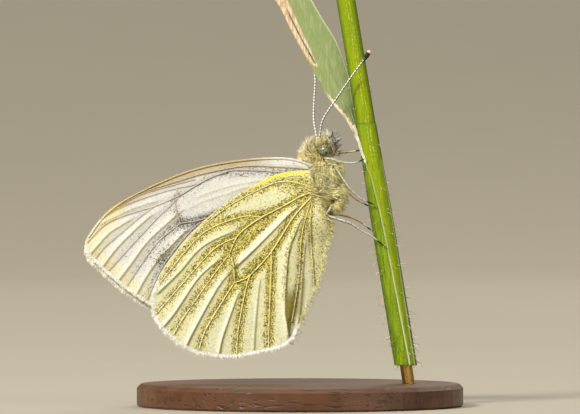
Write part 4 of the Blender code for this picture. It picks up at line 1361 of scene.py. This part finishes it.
def stem_surface():
    """Points of the ribbed stem and its sheath's overlap, with its markings and way out."""
    gap = 0.14
    heights = np.linspace(STEM_FOOT[1], STEM_HEAD[1], round((STEM_HEAD[1] - STEM_FOOT[1]) / gap))
    turn, high = np.meshgrid(np.arange(STEM_SIDES) * 2 * np.pi / STEM_SIDES, heights)
    across = np.cos(turn)
    front = -np.sin(turn)      # 1 on the near side, -1 on the far side
    near = front > 0
    line = np.interp(high, *zip(*SHEATH_LINE[::-1]))
    overlap = np.where(near, across - line, 1.0)
    below = step(COLLAR_HEIGHT + 0.6, COLLAR_HEIGHT - 0.2, high)
    rise = 0.018 * (0.5 + 0.5 * np.cos(turn * 22))
    rise += below * (0.05 * step(-0.02, 0.03, overlap) * near * step(0.5, 0.0, overlap)
                     + 0.02 * bump(overlap, 0.05) * near)
    rise -= below * 0.05 * bump(overlap + 0.12, 0.06) * near
    rise -= 0.03 * bump(across - 0.66, 0.06) * near * below
    rise += 0.03 * bump(across - 0.8, 0.05) * near * below
    radius = stem_radius(high) + rise
    points = np.column_stack([
        (stem_axis(high) + radius * across).ravel(), (-radius * front).ravel(), high.ravel()])
    ends = [(stem_axis(height), 0.0, height) for height in heights[[0, -1]]]
    low = below * step(24.6, 23.6, high)
    faint = 0.6 + 0.4 * step(19.0, 9.0, high)
    pale = np.maximum(faint * low * bump(overlap, 0.042) * near,
                      0.75 * low * bump(across - 0.9 + 0.12 * step(20.0, 6.0, high), 0.035)
                      * near)
    marks = {
        # flank is 1 at the stem's two sides, which are painted in shade where the stem turns away.
        "flank": np.abs(across), "pale": pale,
        "brown": 0.6 * bump(across + 0.88, 0.08) * bump(high - 22.2, 1.0) * near,
        "left": step(0.0, -0.05, overlap) * low * near,
        "line": low * bump(overlap + 0.07, 0.045) * near,
        "rows": np.maximum(bump(across + 0.02, 0.035), bump(across - 0.27, 0.035))
        * near * (1 - 0.6 * low),
        "ring": 0.7 * bump(high - COLLAR_HEIGHT - 0.1 * np.cos(turn), 0.1),
    }
    normal = unit(np.column_stack([across.ravel(), -front.ravel(), 0 * across.ravel()]))
    return (np.vstack([points, *ends]), {key: with_ends(mark) for key, mark in marks.items()},
            np.vstack([normal, (0, 0, -1), (0, 0, 1)]), with_ends(turn))


def make_stem(sizes, materials, shapes):
    """The ribbed stem, its sheath with a pale overlapping edge, and the hairs on it."""
    points, marks, normal, turn = stem_surface()
    faces = tube_faces(len(points) // STEM_SIDES, STEM_SIDES)
    stem = new_object("stem_ribs", points, faces, marks)
    dress(stem, materials["stem"], "stem_green", "grass_stem")
    run = unit(np.array((STEM_FOOT[0] - STEM_HEAD[0], 0.0, STEM_FOOT[1] - STEM_HEAD[1])))
    lower = with_ends(step(26.0, 14.0, points[:-2, 2]))
    source = new_object("stem_hair_source", points, faces, {
        "lie": normal + run * 0.5, "reach": (0.5 + 0.6 * lower) * MM, "girth": 0.06 * MM,
        "cover": (0.35 + 0.65 * marks["flank"] ** 2) * (0.3 + 0.7 * lower),
        "root_uv": np.column_stack([turn / (2 * np.pi), points[:, 2] / 50.0,
                                    0 * points[:, 2]])})
    plant("stem_hairs", source, shapes["hair"], materials["plant_hair"], "stem_green",
          density=2.2, spacing=0.3, disorder=0.5, seed=sizes.seed + 50)


def make_sheath_edge(materials):
    """The torn papery edge that runs down the stem from the foot of the leaf."""
    middle = even_route(smooth_route(SHEATH_EDGE), 0.06)
    across = np.linspace(-1, 1, 9)
    t = np.linspace(0, 1, len(middle))
    ragged = (0.03 * np.sin(t * 47 + 2 * np.sin(t * 19)) + 0.02 * np.sin(t * 133 + 1)
              + 0.05 * np.sin(t * 17))
    half = 0.17 * (1 - 0.6 * t) * step(1.0, 0.9, t) + 0.01
    run = unit(np.gradient(middle, axis=0))
    points = []
    for i, (x, z) in enumerate(middle):
        for v in across:
            shift = half[i] * v + ragged[i] * abs(v) * half[i] / 0.19
            place = x - run[i, 1] * shift
            off = (place - stem_axis(z)) / stem_radius(z)
            depth = -stem_radius(z) * math.sqrt(max(1 - off * off, 0.0))
            points.append((place, depth - 0.06 - 0.05 * v * v, z + run[i, 0] * shift))
    film = new_object("sheath_torn_edge", points, grid_faces(len(middle), len(across)))
    dress(thicken(film, FILM_THICKNESS * MM), materials["film"], "leaf_green")


def leaf_frame(count):
    """The leaf's midline, its sideways direction and its half width."""
    rows = smooth_route(LEAF_BLADE, per_span=10)
    places = np.linspace(0, 1, count)
    rows = np.column_stack([np.interp(places, np.linspace(0, 1, len(rows)), c) for c in rows.T])
    along = unit(np.gradient(rows[:, :2], axis=0))
    side = np.column_stack([-along[:, 1], along[:, 0]])
    return rows[:, :2], side, rows[:, 2]


def make_leaf(materials):
    """The leaf's blade: veined, cupped, with a dry strip that a tear has parted."""
    count, wide = 150, 49
    middle, side, half = leaf_frame(count)
    v, row = np.meshgrid(np.linspace(-1, 1, wide), np.arange(count))
    t = row / (count - 1)
    ragged = 1 + 0.006 * np.sin(row * 1.7) * (np.abs(v) > 0.9) + 0.012 * np.sin(row * 0.23 + v)
    x = middle[:, 0, None] + side[:, 0, None] * half[:, None] * v * ragged
    z = middle[:, 1, None] + side[:, 1, None] * half[:, None] * v * ragged
    veins = np.abs(np.sin(v * np.pi * 8.5))
    y = LEAF_CUP * v ** 2 + 0.02 * veins + 0.05 * np.sin(t * 9 + v * 2) * (1 - t)
    y -= 0.06 * bump(v, 0.06)
    points = np.column_stack([x.ravel(), y.ravel(), z.ravel()])
    flat = points[:, [0, 2]]
    tear = smooth_route(TEAR_ROUTE, per_span=10)
    gap, place, where = nearest(flat, tear)
    left = -v.ravel()              # 1 on the blade's left edge, which the tear has parted
    outer = where < 0
    thin = 0.42 * (1 - 0.75 * place ** 3)
    beyond = np.linalg.norm(flat - tear[-1], axis=1)
    dry = np.where(outer, 1.0, step(thin + 0.05, thin - 0.05, gap)) * (flat[:, 1] > tear[-1, 1])
    dry = np.maximum(dry, 0.8 * step(0.24, 0.08, beyond))
    dry *= 1 - outer * step(0.25, 0.45, gap) * step(0.75, 0.95, place)
    slit = bump(gap, 0.07) * step(0.2, 0.35, place) * (place < 0.98)
    gone = (gap < 0.08) & (place < 0.97) & (place > 0.35)
    from_edge = (1 - left) * np.repeat(half, wide)
    torn = step(0.3, 0.2, from_edge + 0.05 * np.sin(row.ravel() * 0.9)) * step(0.6, 0.7, t.ravel())
    faces = [face for face in grid_faces(count, wide) if not gone[list(face)].all()]
    blade = new_object("leaf_veins", points, faces, {
        "dry": dry, "slit": slit, "torn": torn, "vein": (1 - veins).ravel(),
        "pale": step(-0.88, -0.97, left)})
    dress(thicken(blade, LEAF_THICKNESS * MM), materials["leaf"], "leaf_green", "grass_leaf")


# Stage --------------------------------------------------------------------------------------
def make_floor(materials):
    """A plain pale bowl of floor, which rises behind the insect."""
    profile = [(0.0, 0.0), (0.3, 0.0), (0.6, 0.0), (FLOOR_RADIUS, 0.0)]
    profile += [(FLOOR_RADIUS + FLOOR_RISE * math.sin(a), FLOOR_RISE - FLOOR_RISE * math.cos(a))
                for a in np.linspace(0, math.radians(75), 26)[1:]]
    sides = 64
    turns = [2 * math.pi * j / sides for j in range(sides)]
    points = [(r * math.cos(turn), r * math.sin(turn), z) for r, z in profile[1:] for turn in turns]
    points.append((0.0, 0.0, 0.0))
    faces = [(len(points) - 1, j, (j + 1) % sides) for j in range(sides)]
    faces += [(a, d, c, b) for a, b, c, d in grid_faces(len(profile) - 1, sides, closed=True)]
    floor = new_object("floor", np.asarray(points) / MM, faces)
    floor.data.materials.append(materials["floor"])


def make_lights():
    """Soft studio lights, in metres and watts, and the pale air between them."""
    insect, backdrop = (0.0, 0.0, 0.02), (0.0, 1.6, 0.3)
    for name, place, aim, width, watts, tint in (
            ("key_light", (-0.50, -0.60, 0.55), insect, 0.22, 10.4, "#fffdf7"),
            ("fill_light", (0.75, -0.6, 0.35), insect, 0.60, 3.2, "#f8f7fc"),
            ("back_light", (0.3, 0.85, 0.7), insect, 0.50, 3.0, "#fff8ee"),
            ("backdrop_light", (0.0, 0.9, 2.4), backdrop, 1.60, 30.0, "#fffdf8")):
        light = bpy.data.lights.new(name, "AREA")
        light.size = width
        light.energy = watts
        light.color = linear(tint)
        lamp = bpy.data.objects.new(name, light)
        lamp.location = place
        lamp.rotation_euler = (Vector(aim) - Vector(place)).to_track_quat("-Z", "Y").to_euler()
        lamp.visible_camera = False
        bpy.context.scene.collection.objects.link(lamp)

    world = bpy.data.worlds.new("studio_air")
    world.use_nodes = True
    air = world.node_tree.nodes["Background"]
    air.inputs["Color"].default_value = paint("#f2f0ea")
    air.inputs["Strength"].default_value = 0.3
    bpy.context.scene.world = world


def make_camera():
    """The camera, square on to the wings, and plain display colours for it."""
    lens = bpy.data.cameras.new("view")
    lens.sensor_width = FILM_WIDTH
    lens.lens = FILM_WIDTH * CAMERA_DISTANCE / VIEW_WIDTH
    lens.clip_start, lens.clip_end = 0.01, 20.0
    camera = bpy.data.objects.new("view", lens)
    camera.location = (VIEW_CENTRE[0] * MM, -CAMERA_DISTANCE * MM, VIEW_CENTRE[1] * MM)
    camera.rotation_euler = (math.pi / 2, 0.0, 0.0)
    bpy.context.scene.collection.objects.link(camera)
    bpy.context.scene.camera = camera
    # Pale scales keep their own white and lemon.
    bpy.context.scene.view_settings.view_transform = "Standard"


# Materials ----------------------------------------------------------------------------------
WING_PLATE = 0.085             # size of a wing scale, in millimetres
EYE_FACET = 0.06               # size of a facet as drawn, three times the real one
STEM_LEAN = (0.0, -0.163, 0.0)     # how far the stem's grain leans from upright
BLADE_LEAN = (0.0, 0.5, 0.0)       # and the leaf's


def wing_scales(name, base, warm, ground, vein, edge, speckle, colours):
    """Wing scales: dull overlapping plates a tenth of a millimetre long, so the wing has a
    powdery bloom, a fine tiled grain and no shine."""
    s = Surface(name, 0.75, Sheen_Weight=0.12, Sheen_Roughness=0.5, Specular_IOR_Level=0.25)
    plates = s.add("ShaderNodeTexVoronoi", {"Vector": s.place, "Scale": 1.0 / (WING_PLATE * MM)},
                   None).outputs
    lot = s.add("ShaderNodeSeparateColor", {0: plates["Color"]}, None).outputs
    # Over the scales' own colours lie painted shade in the creases (shade), painted highlights on
    # the folds (light), and painted shade lines under the folds (groove) and the veins (rim).
    tone = s.layers(
        base, (warm, (1.6, 3.0), 0.3, 0.7), (ground, "dust", 0.0, 0.9), ("#bda974", "tan"),
        (colours.lemon, "lemon"), (colours.shade, "shade"), ("#fcfae9", "light"),
        ("#867c2a", "groove"), (vein, "crest", 0.0, 1.0, 0.7), (edge, "rim", 0.0, 1.0, 0.9),
        # One plate in a few is shaded, and among the dark scales many are sooty.
        (speckle, lot[1], 0.6, 1.0, 1.0, "MULTIPLY"))
    sooty = s.add("ShaderNodeMath", {0: lot[0], 1: s.mask("dust", full=0.24)},
                  operation="LESS_THAN")
    tone = s.layer(tone, colours.dust, sooty, 0.0, 1.0, 0.75)
    return s.finish(tone, plates["Distance"], 0.012, 0.6)


def coat_surface(name, colours, hair=True):
    """Butterfly hair: dull and slightly silky, with painted shade towards the root, where the coat
    is deep, and paler at the tip.  The skin has the same colours, so it doesn't show between."""
    s = Surface(name, 0.62, Sheen_Weight=0.25, Sheen_Roughness=0.4, Specular_IOR_Level=0.35)
    tone = s.layers(
        colours.coat, ("#eadc7c", (0.5, 2.0), 0.4, 0.6), (colours.collar, "tan"),
        ("#fffaae", "gold"), ("#dbdfc2", "grey"), ("#3c3520", "dark"))
    if not hair:
        tone = s.layer(tone, "#7d7140", (0.1, 2.0), -0.6, 0.4, 0.4)
        return s.finish(tone, s.mask((0.1, 2.0)), 0.05)
    # Some hairs paler and some darker at random; each hair's root is painted in shade, and its tip
    # is paler.
    tone = s.layers(
        tone, ("#fff6ba", "tone", 0.6, 0.4, 0.8), ("#7a6f44", "tone", 0.9, 0.94, 1.0, "MULTIPLY"),
        ("#ebe3b8", "along", 0.25, 0.0, 1.0, "MULTIPLY"), ("#fff9d0", "along", 0.3, 1.0, 0.45))
    return s.finish(tone)


def insect_materials(colours):
    """The surfaces of the butterfly."""
    made = {
        # Each wing: its scales, a warm tint, the ground among dark scales, its veins, the painted
        # shade line beside its veins, and its darker plates.
        "forewing": wing_scales("pale_wing_scales", colours.forewing, "#dedcd4", "#b4aeaa",
                                "#aca293", "#6c6053", "#dedbd2", colours),
        "hindwing": wing_scales("lemon_wing_scales", colours.hindwing, "#e0deb8", "#dccf6c",
                                "#f3e384", "#5a4b18", "#dcd8b4", colours),
        "skin": coat_surface("downy_skin", colours, hair=False),
        "coat": coat_surface("butterfly_hair", colours),
    }

    # Dark wing scales: matt brown black plates, which read as fine soot on the pale wing.
    s = Surface("dark_wing_scales", 0.75, Specular_IOR_Level=0.2)
    made["dust"] = s.finish(s.layer(colours.dust, "#1d180c", "tone"))

    # Fringe scales: long, pale and thin, a silky edge slightly lighter than the wing.
    s = Surface("fringe_scales", 0.7, Sheen_Weight=0.3, Specular_IOR_Level=0.3)
    made["fringe"] = s.finish(s.layer("#fffdf4", "#e8e5d2", "tone", 0.3, 1.0))

    # Compound eye: a glossy dome of facets, pale green with the dark spots that move in life.
    # Real facets are a fiftieth of a millimetre; they are drawn three times as wide to show.
    s = Surface("compound_eye", 0.22, Coat_Weight=0.4, Coat_Roughness=0.1, IOR=1.5)
    facets = s.add("ShaderNodeTexVoronoi", {"Vector": s.place, "Scale": 1.0 / (EYE_FACET * MM)})
    tone = s.layers(
        colours.eye, ("#8b9868", (0.25, 2.0)), ("#c6c6b6", "chalk", 0.0, 1.0, 0.8),
        ("#6f7450", "low"), ("#20211a", "spot"), ("#a5a58c", facets, 0.25, 0.6, 1.0, "MULTIPLY"))
    made["eye"] = s.finish(tone, s.mask(facets, 1.0, 0.0), 0.01, 0.7)

    # Palp bristles: stiff and near black, with a soft shine.
    s = Surface("black_bristles", 0.42)
    made["bristle"] = s.finish(s.layer("#15120d", "#4a4130", "tone", 0.6, 1.0))

    # White scale hairs: chalky and bright beside the bristles.
    s = Surface("white_scale_hairs", 0.6, Sheen_Weight=0.3)
    made["white_scale"] = s.finish(s.layer("#f7f4ea", "#d3cfb6", "tone"))

    # Feeler: dark horny joints powdered with white scales on the upper side, and a black club
    # with a cream tip.
    s = Surface("feeler_joints", 0.5, Specular_IOR_Level=0.4)
    wave = s.add("ShaderNodeMath", {0: s.rings(FEELER_RING), 1: s.mask((0.07, 1.0), full=1.6)})
    tone = s.layers(
        colours.feeler, ("#eeebe2", wave, -0.1, 0.3), (colours.feeler, "under", 0.1, 0.4),
        (colours.feeler, "left", 1.5, 0.8), ("#e9cf96", "left", 0.26, 0.14))
    made["feeler"] = s.finish(tone, s.mask((0.05, 1.0)), 0.01)

    # Tongue: a horny brown ringed tube, with a faint painted highlight on each ring.
    s = Surface("coiled_tongue", 0.4)
    rings = s.rings(TONGUE_RING)
    made["tongue"] = s.finish(s.layer("#2a1d10", "#5a4020", rings, -1.0, 1.0), rings, 0.004)

    # Legs: horn under chalky scales on the near side; on the far side a copy painted amber and
    # bright, as if lit through.
    for key, name, pale, dark in (("near_leg", "pale_leg", "#d2cdbd", "#2f281e"),
                                  ("far_leg", "amber_leg", "#ffe6b8", "#8c6638")):
        s = Surface(name, 0.5, Specular_IOR_Level=0.4)
        # Dark blotches, painted shade on the underside, a dark band near the foot and a dark knee.
        tone = s.layers(
            pale, (dark, (0.12, 2.0), 0.5, 0.7), (dark, "under", 0.3, 0.7),
            ("#17130d", "place", 0.86, 0.9), ("#1d170f", "knee"))
        made[key] = s.finish(tone, s.mask((0.06, 1.0)), 0.012)

    # Leg scales: narrow matt plates powdering the horn, chalk white; amber on the far legs, painted
    # as lit through.
    for key, name, first, second in (
            ("near_scale", "chalky_leg_scales", "#ece8dc", "#aaa18c"),
            ("far_scale", "amber_leg_scales", "#fff0d2", "#e0b478")):
        s = Surface(name, 0.65)
        tone = s.layer(first, second, "tone")
        made[key] = s.finish(s.layer(tone, "#231c12", "place", 0.84, 0.9))

    # Claws: black horn, which shows as a hard dark glint.
    s = Surface("claw_horn", 0.25)
    made["claw"] = s.finish(s.layer("#0e0b08", "#3a2a18", (0.05, 2.0)))
    return made


def grass_materials(colours):
    """The surfaces of the stem, its hairs and its leaf."""
    made = {}

    # Living grass stem: waxy bright green, ribbed, with pale dashes of pores in rows.
    s = Surface("waxy_grass_stem", 0.55, Specular_IOR_Level=0.12)
    rows, streak = [
        s.add("ShaderNodeMapping", {"Vector": s.place, "Rotation": STEM_LEAN,
                                    "Scale": (1.0, 1.0, stretch)}) for stretch in (0.4, 0.05)]
    tone = s.layer(colours.culm, "#7c9410", (0.22, 2.0, streak), 0.4, 0.6)
    mottle = s.layer("#8ba016", "#5c7810", (0.22, 2.0, streak), 0.35, 0.65)
    # The mottled left zone, and painted shade on the flanks, where the stem turns away.
    tone = s.layers(tone, (mottle, "left"), ("#4d6a16", "flank", 0.6, 1.0))
    dash = s.add("ShaderNodeMath", {0: s.mask((0.1, 1.0, rows), 0.5, 0.58),
                                    1: s.mask("rows")}, operation="MULTIPLY")
    tone = s.layers(
        tone, ("#d4d868", dash), ("#b8c43c", (0.09, 1.0, rows), 0.62, 0.72, 0.3),
        ("#4c661a", "ring"), ("#4b6a1c", "line"), ("#dcdcb6", "pale"), ("#a3894e", "brown"))
    made["stem"] = s.finish(tone, s.mask((0.09, 1.0, rows)), 0.02)

    # Torn edge of the sheath: a dry papery film, which streaks to white with a tinge of pink.
    s = Surface("dry_sheath_edge", 0.6, Specular_IOR_Level=0.3)
    grain = s.add("ShaderNodeMapping", {"Vector": s.place, "Rotation": STEM_LEAN,
                                        "Scale": (1.0, 1.0, 0.15)})
    made["film"] = s.finish(s.layer("#f0e9dd", "#dccab2", (0.15, 2.0, grain), 0.4, 0.65))

    # Plant hairs: fine glassy bristles, which catch the light as pale lines.
    s = Surface("glassy_plant_hairs", 0.35)
    made["plant_hair"] = s.finish(s.layer("#f1ecd9", "#c9b68a", "tone"))

    # Grass blade: matt grey green with a wax bloom and fine veins; its torn edges dried to
    # straw.
    s = Surface("grass_blade", 0.55, Specular_IOR_Level=0.35)
    grain = s.add("ShaderNodeMapping", {"Vector": s.place, "Rotation": BLADE_LEAN,
                                        "Scale": (1.0, 1.0, 0.12)})
    tone = s.layers(
        colours.blade, ("#8d9a60", (0.9, 3.0), 0.35, 0.65), ("#6f8a52", "vein", 0.0, 1.0, 0.5),
        ("#b8bf90", (0.16, 2.0, grain), 0.5, 0.78, 0.6), ("#c6c9a0", "pale"))
    straw = s.layer("#c4a679", "#e6d5b2", (0.16, 2.0, grain), 0.4, 0.6)
    tone = s.layers(tone, (straw, "dry"), ("#3a2f1c", "slit"), ("#f0dfc4", "torn"))
    made["leaf"] = s.finish(tone, s.mask((0.16, 2.0, grain)), 0.02)
    return made


def display_materials(colours):
    """The surfaces of the stand and the studio."""
    made = {}

    # Walnut: oiled, with long dark pores in the grain and a low satin shine.
    s = Surface("oiled_walnut", 0.42, IOR=1.47)
    grain = s.add("ShaderNodeMapping", {"Vector": s.place, "Scale": (0.12, 1.0, 1.0)})
    pores = s.mask((0.35, 2.0, grain), 0.56, 0.68)
    tone = s.layer("#6a4428", "#4a2c18", (3.0, 4.0, grain), 0.3, 0.7)
    made["walnut"] = s.finish(s.layer(tone, "#2a170c", pores, full=0.7), pores, -0.03)

    # Brass: drawn rod, lightly brushed along its length, so it glints in soft lines.
    s = Surface("brushed_brass", 0.3, Metallic=1.0)
    brushed = s.add("ShaderNodeMapping", {"Vector": s.place, "Scale": (1.0, 1.0, 0.03)})
    lines = s.mask((0.06, 2.0, brushed))
    made["brass"] = s.finish(s.layer("#c9a25a", "#a57f3e", lines), lines, 0.01)

    # Studio floor: plain matt card, which takes soft shadows and gives no shine.
    s = Surface("studio_card", 0.9)
    made["floor"] = s.finish(s.layer(colours.floor, "#fbfbfb", (30.0, 2.0), blend="MULTIPLY"))
    return made


# Operators ----------------------------------------------------------------------------------
WORKSHOP = {}                  # materials and strand shapes shared by the operators


def workshop():
    """The sizes, and the shared materials and strand shapes, which are made once."""
    scene = bpy.context.scene
    if not WORKSHOP:
        colours = scene.butterfly_colours
        WORKSHOP["materials"] = {**insect_materials(colours), **grass_materials(colours),
                                 **display_materials(colours)}
        WORKSHOP["shapes"] = {"hair": strand_shape("hair_shape"), "scale": scale_shape("scale")}
    return scene.butterfly_sizes, WORKSHOP["materials"], WORKSHOP["shapes"]


class BUTTERFLY_OT_stage(bpy.types.Operator):
    """Make the floor, the lights and the camera"""

    bl_idname = "butterfly.stage"
    bl_label = "Stage"

    def execute(self, context):
        _sizes, materials, _shapes = workshop()
        make_floor(materials)
        make_lights()
        make_camera()
        return {"FINISHED"}


class BUTTERFLY_OT_wings(bpy.types.Operator):
    """Make the four wings with their veins, dark scales and fringes"""

    bl_idname = "butterfly.wings"
    bl_label = "Wings"

    def execute(self, context):
        still = np.zeros(2)
        for kind in WINGS:
            for side, sign in SIDES:
                shift = FAR_FOREWING_SHIFT if (kind, side) == ("forewing", "left") else still
                make_wing(kind, side, sign, shift, *workshop())
        return {"FINISHED"}


class BUTTERFLY_OT_body(bpy.types.Operator):
    """Make the skin of head, thorax and abdomen, and the coat on it"""

    bl_idname = "butterfly.body"
    bl_label = "Body and coat"

    def execute(self, context):
        make_body(*workshop())
        for side, sign in SIDES:
            for kind in WINGS:
                root_hair(kind, side, sign, *workshop())
        return {"FINISHED"}


class BUTTERFLY_OT_head(bpy.types.Operator):
    """Make the eyes, palps, tongue and feelers"""

    bl_idname = "butterfly.head"
    bl_label = "Head"

    def execute(self, context):
        sizes, materials, shapes = workshop()
        for side, sign in SIDES:
            make_eye(side, sign, materials)
            make_palp(side, sign, sizes, materials, shapes)
            make_feeler(side, sizes, materials)
        make_tongue(materials)
        return {"FINISHED"}


class BUTTERFLY_OT_legs(bpy.types.Operator):
    """Make the six legs with their scales and claws"""

    bl_idname = "butterfly.legs"
    bl_label = "Legs"

    def execute(self, context):
        make_legs(*workshop())
        return {"FINISHED"}


class BUTTERFLY_OT_grass(bpy.types.Operator):
    """Make the grass stem with its hairs, its leaf and the torn edge of its sheath"""

    bl_idname = "butterfly.grass"
    bl_label = "Grass"

    def execute(self, context):
        sizes, materials, shapes = workshop()
        make_stem(sizes, materials, shapes)
        make_leaf(materials)
        make_sheath_edge(materials)
        return {"FINISHED"}


class BUTTERFLY_OT_stand(bpy.types.Operator):
    """Finish the walnut base and the brass rod"""

    bl_idname = "butterfly.stand"
    bl_label = "Stand"

    def execute(self, context):
        _sizes, materials, _shapes = workshop()
        for node, finish in (("stand_base", "walnut"), ("stand_rod", "brass")):
            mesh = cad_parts[node].data
            mesh.materials.clear()
            mesh.materials.append(materials[finish])
        return {"FINISHED"}


class BUTTERFLY_PT_panel(bpy.types.Panel):
    """Sizes, colours and steps of the butterfly"""

    bl_idname = "BUTTERFLY_PT_panel"
    bl_label = "Butterfly"
    bl_space_type = "VIEW_3D"
    bl_region_type = "UI"
    bl_category = "Butterfly"

    def draw(self, context):
        for group in (context.scene.butterfly_sizes, context.scene.butterfly_colours):
            box = self.layout.box()
            for key in group.__annotations__:
                box.prop(group, key)
        for operator in OPERATORS:
            self.layout.operator(operator.bl_idname)


OPERATORS = (BUTTERFLY_OT_stage, BUTTERFLY_OT_wings, BUTTERFLY_OT_body, BUTTERFLY_OT_head,
             BUTTERFLY_OT_legs, BUTTERFLY_OT_grass, BUTTERFLY_OT_stand)
CLASSES = (ButterflySizes, ButterflyColours, *OPERATORS, BUTTERFLY_PT_panel)


def register():
    """Let Blender know the settings, the operators and the panel."""
    for item in CLASSES:
        bpy.utils.register_class(item)
    bpy.types.Scene.butterfly_sizes = PointerProperty(type=ButterflySizes)
    bpy.types.Scene.butterfly_colours = PointerProperty(type=ButterflyColours)


def unregister():
    """Take them out again."""
    del bpy.types.Scene.butterfly_colours
    del bpy.types.Scene.butterfly_sizes
    for item in reversed(CLASSES):
        bpy.utils.unregister_class(item)


def main():
    """Make everything, then take away the strand shapes."""
    register()
    bpy.ops.butterfly.stage()
    bpy.ops.butterfly.wings()
    bpy.ops.butterfly.body()
    bpy.ops.butterfly.head()
    bpy.ops.butterfly.legs()
    bpy.ops.butterfly.grass()
    bpy.ops.butterfly.stand()
    for shape in WORKSHOP["shapes"].values():
        remove_object(shape)


if __name__ == "__main__":
    main()
